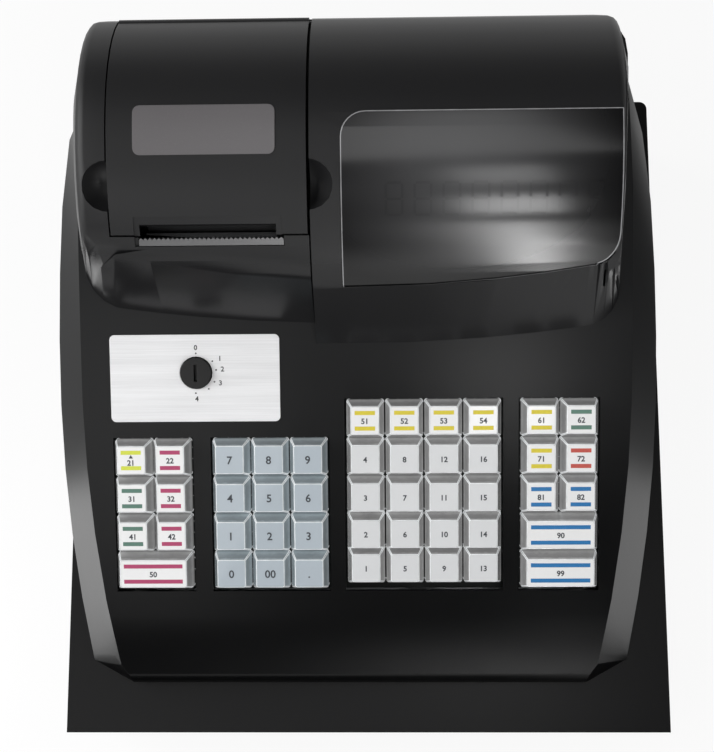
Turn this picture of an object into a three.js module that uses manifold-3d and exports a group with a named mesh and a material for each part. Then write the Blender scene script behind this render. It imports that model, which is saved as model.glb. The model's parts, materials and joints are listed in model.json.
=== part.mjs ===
// An electronic cash register on a drawer cabinet, in millimetres, +Z up, front towards -Y.
// The origin is the middle of the surface that it stands on.
import * as THREE from "three";
import { mergeVertices } from "three/addons/utils/BufferGeometryUtils.js";
import Module from "manifold-3d";

const wasm = await Module();
wasm.setup();

// Clearances
const SEAT_GAP = 0.3;
const RUN_GAP = 0.4;
const OVERRUN = 6;

// Depths, from the cabinet's front edge back to the roof's highest line and on to the rear
const KEYBOARD_DEPTH = 189.2;
const ROOF_FOOT_SPACE = 1.2;
const ROOF_RADIUS = 97.6;
const REAR_DEPTH = 50;
const SUMMIT_Y = KEYBOARD_DEPTH + ROOF_FOOT_SPACE + ROOF_RADIUS;
const CASE_DEPTH = SUMMIT_Y + REAR_DEPTH;

// Sides of the facets round the small pins, rods, barrels and discs
const PIN_SIDES = 12;
const BARREL_SIDES = 16;
const ROD_SIDES = 20;
const DISC_SIDES = 24;
const ROLL_SIDES = 28;

// Drawer cabinet and its feet
const CABINET_WIDTH = 310;
const CABINET_DEPTH = CASE_DEPTH;
const CABINET_HEIGHT = 80;
const CABINET_SHEET = 1.6;
const CABINET_CORNER = 4;
const FOOT_HEIGHT = 8;
const FOOT_RADIUS = 10;
const FOOT_INSET = 22;
const LEDGE_SHEET = 2;
const LEDGE_REACH = 6;
const LEDGE_RISE = 30;
const LEDGE_END_SPACE = 5;

// Cash drawer
const FRONT_PLAY = 0.8;
const FRONT_SHEET = 3;
const PAN_SHEET = 1.5;
const PAN_LIFT = 2.4;
const PAN_HEIGHT = 70;
const PAN_REAR_SPACE = 19.7;
const RUNNER_SHEET = 2;
const RUNNER_REACH = 7;
const RUNNER_PLAY = 0.8;
const DRAWER_LOCK_RADIUS = 8.5;
const DRAWER_LOCK_LENGTH = 12;
const CAM_WIDTH = 9;
const CAM_REACH = 17;
const CAM_SHEET = 2.5;
const KEYWAY_LENGTH = 8;
const KEYWAY_WIDTH = 1.6;
const KEYWAY_DEPTH = 3;

// Money tray and bill clips
const TRAY_PLAY = 1.2;
const TRAY_FRONT_SPACE = 16;
const TRAY_WALL = 2;
const TRAY_FLOOR = 2;
const TRAY_HEIGHT = 54;
const DIVIDER = 3;
const COIN_LENGTH = 112;
const COIN_FLOOR_RISE = 14;
const BILL_COUNT = 4;
const COIN_COUNT = 5;
const CLIP_ROD_RADIUS = 1.5;
const CLIP_ROD_ENTRY = 1.1;
const CLIP_ROD_SETBACK = 9;
const CLIP_ROD_RISE = 30;
const CLIP_ARM_WIDTH = 12;
const CLIP_SHEET = 1.5;
const CLIP_REACH = 64;
const CLIP_PAD_WIDTH = 34;
const CLIP_PAD_LENGTH = 12;

// Register case, seen from above: y runs back from the cabinet's front edge, z up from its top
const CASE_SHIFT = -3.7;
const CASE_WALL = 3;
const PANEL_TILT = THREE.MathUtils.degToRad(16.15);
const LIP_Y = 26.3;
const LIP_Z = 23.25;
const RIM_DROP = 18;
const RIM_LIP = 1.5;
const RIM_INSET = 2;
const WIDEST_SPACE = 17.2;
const WIDEST_Y = KEYBOARD_DEPTH - WIDEST_SPACE;
const RIM = {
  frontY: 25.5, cornerCut: 20.282, cornerY: 37, widest: 149.3, frontBow: 700, rearBow: 1000, tailHalf: 134.4,
};
const CREASE = {
  frontY: 26.3, cornerCut: 6.264, cornerY: 35, widest: 134.4, frontBow: 620, rearBow: 6400, tailHalf: 132.8,
};
const SIDE_END_SPACE = 47;
const TAIL_SPACE = 29;
const REAR_CORNER = 17;
const UNDERCUT = 9.5;
const SIDE_STATIONS = 8;
const CORNER_STEPS = 4;
const INLET_X = 84;
const INLET_Z = 24;
const INLET_WIDTH = 27;
const INLET_HEIGHT = 20;

// Tower: printer housing at the left, display housing at the right
const ROOF_CENTRE_Z = 43.9;
const REAR_RADIUS_SHARE = 1.2;
const REAR_RADIUS = REAR_DEPTH * REAR_RADIUS_SHARE;
const TANGENT_ANGLE = THREE.MathUtils.degToRad(56);
const ROOF_END_ANGLE = THREE.MathUtils.degToRad(70);
const ROOF_FOOT = 90;
const ROOF_STEPS = 14;
const REAR_STEPS = 8;
const ROOF_HALF = 125.2;
const ROOF_EDGE = 5;
const ROOF_SKIRT = 6;
const ROOF_SKIRT_DROP = 20;
const TOWER_WALL = 3;
const TOWER_TOP = 75;
const FRONT_BOW = 843;
const CORNER_X = 109.3;
const SIDE_LEAN_SHARE = 0.155;
const PRINTER_SETBACK = 9.7;
const DISPLAY_WIDEST = 7;
const PRINTER_WIDEST = 31;
const DISPLAY = {
  nearX: -18.8, frontY: KEYBOARD_DEPTH, corner: 18.7, side: 130.8, widestY: SUMMIT_Y + DISPLAY_WIDEST,
  bow: 1140,
  leanShare: 0.64,
};
const PRINTER = {
  nearX: 19.5, frontY: KEYBOARD_DEPTH + PRINTER_SETBACK, corner: 22, side: 133,
  widestY: SUMMIT_Y - PRINTER_WIDEST,
  bow: 250, leanShare: 0.409,
};
const TOWER_REAR_CORNER = 17;
const BOW_SHARES = [0.35, 0.62, 0.82];

// Openings in the case's top under the tower
const FRAME_FRONT_SPACE = 59;
const FRAME_FRONT = SUMMIT_Y - FRAME_FRONT_SPACE;
const WELL_FRAME_SPACE = 13;
const WELL_FRONT_SPACE = 22.8;
const WELL_REAR_SPACE = 8;
const PRINTER_WELL = {
  left: -124, right: -24, front: FRAME_FRONT - WELL_FRAME_SPACE, rear: CASE_DEPTH - WELL_REAR_SPACE,
};
const DISPLAY_WELL = {
  left: -12, right: 121, front: KEYBOARD_DEPTH + WELL_FRONT_SPACE, rear: CASE_DEPTH - WELL_REAR_SPACE,
};
const WELL_REACH = 12;

// Printer door, its places along the register measured from the roof's highest line
const DOOR_LEFT = -110.2;
const DOOR_RIGHT = -20.1;
const DOOR_LENGTH = 57.7;
const DOOR_FRONT = SUMMIT_Y - DOOR_LENGTH;
const DOOR_SHEET = 2.5;
const DOOR_SIDE_GAP = 0.7;
const DOOR_AXIS_SPACE = 3.4;
const DOOR_AXIS_DROP = 3.095;
const DOOR_AXIS_Y = CASE_DEPTH - DOOR_AXIS_SPACE;
const DOOR_BARREL = 2.8;
const DOOR_PIN = 1.2;
const DOOR_PIN_LENGTH = 2.6;
const WELL_WALL = 3;
const SCOOP_RADIUS = 13;
const SCOOP_RISE = 5;
const SCOOP_SPACE = 38;
const SCOOP_Y = SUMMIT_Y - SCOOP_SPACE;
const SCOOP_WALL = 2.4;
const SLOT_LEFT = -97;
const SLOT_RIGHT = -34.5;
const SLOT_REAR_SPACE = 53.5;
const SLOT_REAR = SUMMIT_Y - SLOT_REAR_SPACE;
const SLOT_RECESS_DEPTH = 1;
const SLOT_RECESS_SIDE = 2.5;
const SLOT_RECESS_LENGTH = 14;
const TEAR_SPACE = 60.5;
const TEAR_Y = SUMMIT_Y - TEAR_SPACE;
const TEAR_LEFT = -97.6;
const TEAR_RIGHT = -31.2;
const TEAR_WIDTH = 4;
const TEAR_SHEET = 1.2;
const TEAR_TOOTH = 1;
const TEAR_TEETH = 32;

// Printer mechanism, platen and paper
const FRAME_LEFT = -104;
const FRAME_RIGHT = -26;
const FRAME_SHEET = 2;
const FRAME_REAR_SPACE = 32;
const FRAME_REAR = SUMMIT_Y + FRAME_REAR_SPACE;
const FRAME_RISE = 7;
const FRAME_FOOT = 26;
const HEAD_REAR_SPACE = 53.7;
const HEAD_REAR = SUMMIT_Y - HEAD_REAR_SPACE;
const HEAD_HEIGHT = 15;
const HEAD_RISE = 1;
const HEAD_SIDE_GAP = 8;
const PLATEN_SPACE = 47.5;
const PLATEN_Y = SUMMIT_Y - PLATEN_SPACE;
const PLATEN_DROP = 19.161;
const PLATEN_RADIUS = 5;
const PLATEN_AXLE = 1.5;
const BRACKET_SHEET = 3;
const BRACKET_HALF = 4.5;
const BRACKET_INSET = 11.5;
const BRACKET_DROP = 3.5;
const ROLL_RADIUS = 25;
const ROLL_CORE = 6.5;
const ROLL_WIDTH = 57;
const BUCKET_WALL = 2;
const BUCKET_GAP = 0.6;
const ROLL_DROP = 37.5;
const ROLL_Z = ROOF_CENTRE_Z + ROOF_RADIUS - ROLL_DROP;
const FRAME_TOP = ROLL_Z + FRAME_RISE;
const HEAD_TOP = FRAME_TOP + HEAD_RISE;
const HEAD_BOTTOM = HEAD_TOP - HEAD_HEIGHT;

// Display window and module
const WINDOW_LEFT = -4.7;
const WINDOW_RIGHT = 122;
const WINDOW_TOP_SPACE = 6.5;
const WINDOW_BOTTOM_SHARE = 0.7971;
const WINDOW_CORNER = 11.5;
const WINDOW_LEAST_CORNER_SHARE = 0.25;
const WINDOW_PROUD = 1;
const WINDOW_SHEET = 2.2;
const WINDOW_LEDGE = 16;
const MODULE_X = 55;
const MODULE_WIDTH = 106;
const MODULE_LENGTH = 52;
const MODULE_DEPTH = 10;
const MODULE_DROP = 9;
const MODULE_TILT = THREE.MathUtils.degToRad(27.6);
const BOSS_SIZE = 7;

// Keyboard
const KEY_PITCH_X = 19.05;
const KEY_PITCH_Y = 18.84;
const TOP_ROW_SPACE = 36.493;
const KEY_BASE = 17.7;
const KEY_TOP = 13.7;
const KEY_RISE = 9;
const KEY_SKIRT = 3;
const KEY_SHOULDER = 1;
const KEY_CHAMFER = 1.4;
const KEY_TRAVEL = 3.5;
const STEM_SIZE = 6;
const STEM_LENGTH = 10;
const BAR_WIDTH = 4;
const BAR_HEIGHT = 2;
const CUT_SIDE = 10.2;
const CUT_TOP = 9.7;
const CUT_BOTTOM = 11.1;
const LEFT_KEYS = -109.54;
const NUMBER_KEYS = -61.49;
const DEPARTMENT_KEYS = 4.53;
const RIGHT_KEYS = 89.69;
const ROWS = 5;
const SWITCH_SIZE = 13;
const SWITCH_HEIGHT = 8.4;
const BOARD_SHEET = 1.6;
const STEM_SPACE = 0.9;
const BOARD_DROP = KEY_SKIRT + STEM_LENGTH + KEY_TRAVEL + STEM_SPACE + BOARD_SHEET;
const BOARD_MARGIN = 3;

// Mode lock and its plate
const PLATE_LEFT = -120.2;
const PLATE_RIGHT = -37;
const PLATE_LENGTH = 42.9;
const PLATE_OVERLAP = 5.207;
const PLATE_CORNER = 2.5;
const PLATE_SHEET = 0.8;
const PLATE_SINK = 0.4;
const MODE_X = -78;
const MODE_SPACE = 13.593;
const MODE_RADIUS = 7.6;
const MODE_RISE = 2.5;
const MODE_LENGTH = 22;

// Base plate and what stands on it
const BASE_SHEET = 2;
const BASE_HALF = 126;
const BASE_FRONT = 46;
const BASE_REAR_SPACE = 12;
const POST_RADIUS = 4;
const POST_X = [-110, 30, 110];
const POST_FRONT = 50;
const POST_REAR_SPACE = 41.593;
const MAIN_LEFT = -100;
const MAIN_RIGHT = 20;
const MAIN_FRONT = 96;
const MAIN_OVERLAP = 10.8;
const MAIN_REAR = KEYBOARD_DEPTH + MAIN_OVERLAP;
const MAIN_RISE = 8;
const MAIN_POST_INSET = 8;
const CHIP_HEIGHT = 5;
const CHIPS_SHARES = [[0.3, 0.4, 0.28, 0.24], [0.7, 0.3, 0.2, 0.16], [0.66, 0.72, 0.3, 0.14]];
const SUPPLY_LEFT = 36;
const SUPPLY_RIGHT = 108;
const SUPPLY_SPACE = 48;
const SUPPLY_FRONT = SUMMIT_Y - SUPPLY_SPACE;
const SUPPLY_HEIGHT = 52;
const SUPPLY_TRANSFORMER = 44;
const SUPPLY_CORE_SHARE = 0.55;

// Colours, roughness and metalness
const PAINTED = { color: 0x1b1a1c, roughness: 0.6, metalness: 0.2 };
const HOUSING = { color: 0x1d1c1f, roughness: 0.55, metalness: 0 };
const GLOSSY = { color: 0x0c0c10, roughness: 0.12, metalness: 0 };
const RUBBER = { color: 0x141414, roughness: 0.9, metalness: 0 };
const SHEET_STEEL = { color: 0x9b9da0, roughness: 0.45, metalness: 0.9 };
const BRUSHED = { color: 0xe0e0e2, roughness: 0.4, metalness: 0.3 };
const BOARD_GREEN = { color: 0x1e5a34, roughness: 0.6, metalness: 0 };
const PAPER = { color: 0xf2f0ea, roughness: 0.85, metalness: 0 };
const GREY_PLASTIC = { color: 0x4a4b50, roughness: 0.6, metalness: 0 };
const KEY_CLEAR = { color: 0xe6e8ea, roughness: 0.25, metalness: 0 };
const KEY_GREY = { color: 0xb4becb, roughness: 0.3, metalness: 0 };
const KEY_RED = { color: 0xb02a3e, roughness: 0.3, metalness: 0 };
const KEY_GREEN = { color: 0x2f8f5b, roughness: 0.3, metalness: 0 };
const KEY_YELLOW = { color: 0xe2c23a, roughness: 0.3, metalness: 0 };
const KEY_BLUE = { color: 0x2d6fb6, roughness: 0.3, metalness: 0 };

const part = new THREE.Group();

// A closed three.js geometry as a solid, and back
function solid(geometry) {
  const bare = new THREE.BufferGeometry();
  bare.setAttribute("position", geometry.getAttribute("position").clone());
  if (geometry.index) bare.setIndex(geometry.index.clone());
  const merged = mergeVertices(bare);
  return new wasm.Manifold(new wasm.Mesh({
    numProp: 3,
    vertProperties: new Float32Array(merged.getAttribute("position").array),
    triVerts: new Uint32Array(merged.index.array),
  }));
}

function geometryOf(body) {
  const mesh = body.getMesh();
  const geometry = new THREE.BufferGeometry();
  geometry.setAttribute("position", new THREE.BufferAttribute(
    new Float32Array(mesh.vertProperties), mesh.numProp,
  ));
  geometry.setIndex(new THREE.BufferAttribute(new Uint32Array(mesh.triVerts), 1));
  geometry.computeVertexNormals();
  return geometry;
}

function add(group, name, geometry, finish) {
  const mesh = new THREE.Mesh(geometry, new THREE.MeshStandardMaterial(finish));
  mesh.name = name;
  group.add(mesh);
  return mesh;
}

// Plain solids, each between two corners or along one axis
function block(x0, x1, y0, y1, z0, z1, frame) {
  const geometry = new THREE.BoxGeometry(x1 - x0, y1 - y0, z1 - z0);
  geometry.translate((x0 + x1) / 2, (y0 + y1) / 2, (z0 + z1) / 2);
  if (frame) geometry.applyMatrix4(frame);
  return solid(geometry);
}

function rod(axis, radius, from, to, across, up, sides = ROD_SIDES) {
  const geometry = new THREE.CylinderGeometry(radius, radius, to - from, sides);
  const middle = (from + to) / 2;
  if (axis === "x") {
    geometry.rotateZ(Math.PI / 2);
    geometry.translate(middle, across, up);
  } else if (axis === "y") {
    geometry.translate(across, middle, up);
  } else {
    geometry.rotateX(Math.PI / 2);
    geometry.translate(across, up, middle);
  }
  return solid(geometry);
}

// Rings of the same number of points, each counter-clockwise seen from its far end, joined with flat ends
function loft(rings, alongX = false) {
  const count = rings[0].length;
  const position = rings.flat().flatMap((point) => [point.x, point.y, point.z]);
  const index = [];
  for (let ring = 0; ring < rings.length - 1; ring += 1) {
    for (let i = 0; i < count; i += 1) {
      const a = ring * count + i;
      const b = ring * count + ((i + 1) % count);
      index.push(a, b, b + count, a, b + count, a + count);
    }
  }
  const last = (rings.length - 1) * count;
  const flat = rings[0].map((point) => new THREE.Vector2(
    alongX ? point.y : point.x, alongX ? point.z : point.y,
  ));
  for (const [a, b, c] of THREE.ShapeUtils.triangulateShape(flat, [])) {
    index.push(a, c, b, last + a, last + b, last + c);
  }
  const geometry = new THREE.BufferGeometry();
  geometry.setAttribute("position", new THREE.Float32BufferAttribute(position, 3));
  geometry.setIndex(index);
  return geometry;
}

// An outline extruded upwards between two heights
function prism(outline, z0, z1, cornerSteps = CORNER_STEPS) {
  const geometry = new THREE.ExtrudeGeometry(
    outline, { depth: z1 - z0, bevelEnabled: false, curveSegments: cornerSteps },
  );
  geometry.translate(0, 0, z0);
  return solid(geometry);
}

function roundedOutline(x0, x1, y0, y1, radii) {
  const [frontLeft, frontRight, rearRight, rearLeft] = radii;
  const outline = new THREE.Shape();
  outline.moveTo(x0 + frontLeft, y0);
  outline.lineTo(x1 - frontRight, y0);
  if (frontRight) outline.absarc(x1 - frontRight, y0 + frontRight, frontRight, -Math.PI / 2, 0);
  outline.lineTo(x1, y1 - rearRight);
  if (rearRight) outline.absarc(x1 - rearRight, y1 - rearRight, rearRight, 0, Math.PI / 2);
  outline.lineTo(x0 + rearLeft, y1);
  if (rearLeft) outline.absarc(x0 + rearLeft, y1 - rearLeft, rearLeft, Math.PI / 2, Math.PI);
  outline.lineTo(x0, y0 + frontLeft);
  if (frontLeft) outline.absarc(x0 + frontLeft, y0 + frontLeft, frontLeft, Math.PI, Math.PI * 1.5);
  return outline;
}

// Drawer cabinet: a sheet box open at the front, with two ledges on each side for the drawer's runners
const cabinetHalf = CABINET_WIDTH / 2;
const cabinetFront = -CABINET_DEPTH / 2;
const cabinetRear = CABINET_DEPTH / 2;
const cabinetTop = FOOT_HEIGHT + CABINET_HEIGHT;
const insideHalf = cabinetHalf - CABINET_SHEET;
const floorZ = FOOT_HEIGHT + CABINET_SHEET;
const ceilingZ = cabinetTop - CABINET_SHEET;
const panFloorZ = floorZ + PAN_LIFT;
const runnerZ = floorZ + LEDGE_RISE;

function makeCabinet() {
  const outline = roundedOutline(
    -cabinetHalf, cabinetHalf, cabinetFront, cabinetRear, [0, 0, CABINET_CORNER, CABINET_CORNER],
  );
  let body = prism(outline, FOOT_HEIGHT, cabinetTop);
  const inside = block(
    -insideHalf, insideHalf, cabinetFront - OVERRUN, cabinetRear - CABINET_SHEET, floorZ, ceilingZ,
  );
  body = body.subtract(inside);
  const ledgeFront = cabinetFront + FRONT_SHEET + LEDGE_END_SPACE;
  const ledgeRear = cabinetRear - LEDGE_END_SPACE;
  for (const side of [-1, 1]) {
    const wall = side * (insideHalf + CABINET_SHEET / 2);
    const tip = side * (insideHalf - LEDGE_REACH);
    const [x0, x1] = [Math.min(wall, tip), Math.max(wall, tip)];
    const upper = runnerZ + SEAT_GAP + RUNNER_SHEET + RUNNER_PLAY;
    body = body.add(block(x0, x1, ledgeFront, ledgeRear, runnerZ - LEDGE_SHEET, runnerZ));
    body = body.add(block(x0, x1, ledgeFront, ledgeRear, upper, upper + LEDGE_SHEET));
  }
  return body;
}

function makeFoot() {
  const geometry = new THREE.CylinderGeometry(FOOT_RADIUS, FOOT_RADIUS, FOOT_HEIGHT, ROD_SIDES);
  geometry.rotateX(Math.PI / 2);
  geometry.translate(0, 0, FOOT_HEIGHT / 2);
  return geometry;
}

// Cash drawer: pan with side runners, its front, and the lock through both
const panHalf = insideHalf - RUNNER_REACH - RUNNER_PLAY;
const panFront = cabinetFront + FRONT_SHEET + SEAT_GAP;
const panRear = cabinetRear - PAN_REAR_SPACE;
const lockZ = (floorZ + ceilingZ) / 2;

function makePan() {
  let body = block(-panHalf, panHalf, panFront, panRear, panFloorZ, panFloorZ + PAN_HEIGHT);
  body = body.subtract(block(
    PAN_SHEET - panHalf, panHalf - PAN_SHEET, panFront + PAN_SHEET, panRear - PAN_SHEET,
    panFloorZ + PAN_SHEET, panFloorZ + PAN_HEIGHT + OVERRUN,
  ));
  for (const side of [-1, 1]) {
    const edges = [side * (panHalf - PAN_SHEET / 2), side * (panHalf + RUNNER_REACH)].sort((a, b) => a - b);
    const low = runnerZ + SEAT_GAP;
    body = body.add(block(edges[0], edges[1], panFront + OVERRUN, panRear, low, low + RUNNER_SHEET));
  }
  const hole = rod("y", DRAWER_LOCK_RADIUS + SEAT_GAP, panFront - OVERRUN, panFront + OVERRUN, 0, lockZ);
  return body.subtract(hole);
}

function makeDrawerFront() {
  const half = insideHalf - FRONT_PLAY;
  const body = block(
    -half, half, cabinetFront, cabinetFront + FRONT_SHEET, floorZ + FRONT_PLAY, ceilingZ - FRONT_PLAY,
  );
  const hole = rod("y", DRAWER_LOCK_RADIUS + SEAT_GAP, cabinetFront - OVERRUN, panFront + OVERRUN, 0, lockZ);
  return body.subtract(hole);
}

function makeDrawerLock() {
  const rear = cabinetFront + DRAWER_LOCK_LENGTH;
  let body = rod("y", DRAWER_LOCK_RADIUS, cabinetFront, rear, 0, lockZ);
  body = body.add(block(
    -CAM_WIDTH / 2, CAM_WIDTH / 2, rear - CAM_SHEET, rear, lockZ, lockZ + CAM_REACH,
  ));
  return body.subtract(block(
    -KEYWAY_WIDTH / 2, KEYWAY_WIDTH / 2, cabinetFront - OVERRUN, cabinetFront + KEYWAY_DEPTH,
    lockZ - KEYWAY_LENGTH / 2, lockZ + KEYWAY_LENGTH / 2,
  ));
}

// Money tray: coin cups in front of the note wells, with a spring clip at the back of each well
const trayHalf = panHalf - PAN_SHEET - TRAY_PLAY;
const trayFront = panFront + PAN_SHEET + TRAY_FRONT_SPACE;
const trayRear = panRear - PAN_SHEET - TRAY_PLAY;
const trayZ = panFloorZ + PAN_SHEET + SEAT_GAP;
const trayFloorZ = trayZ + TRAY_FLOOR;
const billFront = trayFront + TRAY_WALL + COIN_LENGTH + TRAY_WALL;
const billWidth = (2 * trayHalf - 2 * TRAY_WALL - (BILL_COUNT - 1) * DIVIDER) / BILL_COUNT;
const coinWidth = (2 * trayHalf - 2 * TRAY_WALL - (COIN_COUNT - 1) * TRAY_WALL) / COIN_COUNT;
const clipY = trayRear - TRAY_WALL - CLIP_ROD_SETBACK;
const clipZ = trayFloorZ + CLIP_ROD_RISE;
const billLeft = (index) => TRAY_WALL - trayHalf + index * (billWidth + DIVIDER);
const coinLeft = (index) => TRAY_WALL - trayHalf + index * (coinWidth + TRAY_WALL);

function makeTray() {
  let body = block(-trayHalf, trayHalf, trayFront, trayRear, trayZ, trayZ + TRAY_HEIGHT);
  const above = trayZ + TRAY_HEIGHT + OVERRUN;
  for (let i = 0; i < BILL_COUNT; i += 1) {
    const x = billLeft(i);
    body = body.subtract(block(x, x + billWidth, billFront, trayRear - TRAY_WALL, trayFloorZ, above));
    body = body.subtract(rod(
      "x", CLIP_ROD_RADIUS + RUN_GAP, x - CLIP_ROD_ENTRY - RUN_GAP, x + billWidth + CLIP_ROD_ENTRY + RUN_GAP,
      clipY, clipZ, PIN_SIDES,
    ));
  }
  for (let i = 0; i < COIN_COUNT; i += 1) {
    const x = coinLeft(i);
    body = body.subtract(block(
      x, x + coinWidth, trayFront + TRAY_WALL, trayFront + TRAY_WALL + COIN_LENGTH,
      trayFloorZ + COIN_FLOOR_RISE, above,
    ));
  }
  return body;
}

// A clip in its own place: the rod at the origin, the pad forward and below
function makeClip() {
  const drop = CLIP_ROD_RISE - SEAT_GAP;
  const half = billWidth / 2;
  let body = rod("x", CLIP_ROD_RADIUS, -half - CLIP_ROD_ENTRY, half + CLIP_ROD_ENTRY, 0, 0, PIN_SIDES);
  const arm = new THREE.Shape();
  arm.moveTo(-CLIP_REACH, -drop);
  arm.lineTo(CLIP_PAD_LENGTH - CLIP_REACH, -drop);
  arm.lineTo(CLIP_PAD_LENGTH - CLIP_REACH, CLIP_SHEET - drop);
  arm.lineTo(CLIP_ROD_RADIUS, 0);
  arm.lineTo(0, CLIP_SHEET);
  arm.lineTo(-CLIP_REACH, 2 * CLIP_SHEET - drop);
  const frame = new THREE.Matrix4().makeBasis(
    new THREE.Vector3(0, 1, 0), new THREE.Vector3(0, 0, 1), new THREE.Vector3(1, 0, 0),
  );
  const strap = new THREE.ExtrudeGeometry(arm, { depth: CLIP_ARM_WIDTH, bevelEnabled: false });
  strap.translate(0, 0, -CLIP_ARM_WIDTH / 2);
  strap.applyMatrix4(frame);
  body = body.add(solid(strap));
  return body.add(block(
    -CLIP_PAD_WIDTH / 2, CLIP_PAD_WIDTH / 2, -CLIP_REACH, CLIP_PAD_LENGTH - CLIP_REACH, -drop,
    CLIP_SHEET - drop,
  ));
}

// Register case: rings that follow its plan from the cabinet's top up to the sloping panel
const panelZ = (y) => LIP_Z + (y - LIP_Y) * Math.tan(PANEL_TILT);
const plumb = (distance) => distance / Math.cos(PANEL_TILT);
const slopeAt = (y) => plumb(y - LIP_Y);
const towerSlope = slopeAt(KEYBOARD_DEPTH);
const topRow = towerSlope - TOP_ROW_SPACE;
const modeS = towerSlope - MODE_SPACE;
const plateRear = towerSlope + PLATE_OVERLAP;
const plateFront = plateRear - PLATE_LENGTH;
const plateCorners = [PLATE_CORNER, PLATE_CORNER, PLATE_CORNER, PLATE_CORNER];

function halfAt(form, y) {
  const bow = y < WIDEST_Y ? form.frontBow : form.rearBow;
  return form.widest - (y - WIDEST_Y) ** 2 / (2 * bow);
}

function caseRing(form, inset, front, height) {
  const frontHalf = halfAt(form, form.cornerY) - form.cornerCut;
  const right = [[frontHalf - inset / 2, form.frontY + inset + front]];
  for (let i = 0; i <= SIDE_STATIONS; i += 1) {
    const y = form.cornerY + ((CASE_DEPTH - SIDE_END_SPACE - form.cornerY) * i) / SIDE_STATIONS;
    right.push([halfAt(form, y) - inset, Math.max(y, form.frontY + inset + front + i * inset)]);
  }
  right.push([form.tailHalf - inset, CASE_DEPTH - TAIL_SPACE]);
  for (let i = 0; i <= CORNER_STEPS; i += 1) {
    const angle = (Math.PI / 2) * (i / CORNER_STEPS);
    const reach = REAR_CORNER - inset;
    right.push([
      form.tailHalf - REAR_CORNER + reach * Math.cos(angle),
      CASE_DEPTH - REAR_CORNER + reach * Math.sin(angle),
    ]);
  }
  const left = right.map(([x, y]) => [-x, y]).reverse();
  return [...right, ...left].map(([x, y]) => new THREE.Vector3(x, y, height(y)));
}

function caseBody(wall, overrun) {
  const rimZ = (y) => panelZ(y) - plumb(RIM_DROP);
  const inset = wall + RIM_INSET;
  const rings = [
    caseRing(RIM, inset, UNDERCUT, () => -overrun),
    caseRing(RIM, inset, 0, (y) => rimZ(y) - RIM_LIP),
    caseRing(RIM, wall ? inset : 0, 0, rimZ),
    caseRing(CREASE, wall, 0, (y) => panelZ(y) - plumb(wall)),
  ];
  return solid(loft(rings));
}

const panelFrame = new THREE.Matrix4().makeRotationX(PANEL_TILT).setPosition(0, LIP_Y, LIP_Z);
const cutPanel = (left, right, front, rear, low, high) => block(
  left, right, front, rear, low, high, panelFrame,
);

const keyBlocks = [
  { name: "left", x: LEFT_KEYS, columns: 2, top: 1, wide: [4] },
  { name: "number", x: NUMBER_KEYS, columns: 3, top: 1, wide: [] },
  { name: "department", x: DEPARTMENT_KEYS, columns: 4, top: 0, wide: [] },
  { name: "right", x: RIGHT_KEYS, columns: 2, top: 0, wide: [3, 4] },
];
const columnX = (keys, column) => keys.x + column * KEY_PITCH_X;
const rowS = (row) => topRow - row * KEY_PITCH_Y;

function makeCase() {
  let body = caseBody(0, 0).subtract(caseBody(CASE_WALL, OVERRUN));
  for (const keys of keyBlocks) {
    body = body.subtract(cutPanel(
      keys.x - CUT_SIDE, columnX(keys, keys.columns - 1) + CUT_SIDE, rowS(ROWS - 1) - CUT_BOTTOM,
      rowS(keys.top) + CUT_TOP,
      -WELL_REACH, WELL_REACH,
    ));
  }
  for (const well of [PRINTER_WELL, DISPLAY_WELL]) {
    body = body.subtract(cutPanel(
      well.left, well.right, slopeAt(well.front), slopeAt(well.rear), -WELL_REACH, WELL_REACH,
    ));
  }
  body = body.subtract(prism(
    roundedOutline(
      PLATE_LEFT - SEAT_GAP, PLATE_RIGHT + SEAT_GAP, plateFront - SEAT_GAP, plateRear + SEAT_GAP,
      plateCorners,
    ), -PLATE_SINK - SEAT_GAP, WELL_REACH,
  ).transform(panelFrame.elements));
  body = body.subtract(rod(
    "z", MODE_RADIUS + RUN_GAP, -WELL_REACH, WELL_REACH, MODE_X, modeS,
  ).transform(panelFrame.elements));
  return body.subtract(block(
    INLET_X - INLET_WIDTH / 2 - SEAT_GAP, INLET_X + INLET_WIDTH / 2 + SEAT_GAP,
    CASE_DEPTH - CASE_WALL - OVERRUN,
    CASE_DEPTH + OVERRUN, INLET_Z - INLET_HEIGHT / 2 - SEAT_GAP, INLET_Z + INLET_HEIGHT / 2 + SEAT_GAP,
  ));
}

// Tower: the roof's side profile, made lower by a drop, over a plan whose front and sides lean in
const frontRoofZ = (y) => ROOF_CENTRE_Z + Math.sqrt(ROOF_RADIUS ** 2 - (SUMMIT_Y - y) ** 2);
const rearRoofZ = (y) => ROOF_CENTRE_Z + ROOF_RADIUS - REAR_RADIUS + Math.sqrt(
  REAR_RADIUS ** 2 - (y - SUMMIT_Y) ** 2,
);
const doorAxisZ = rearRoofZ(DOOR_AXIS_Y) - DOOR_AXIS_DROP;
const platenZ = frontRoofZ(PLATEN_Y) - PLATEN_DROP;

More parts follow.
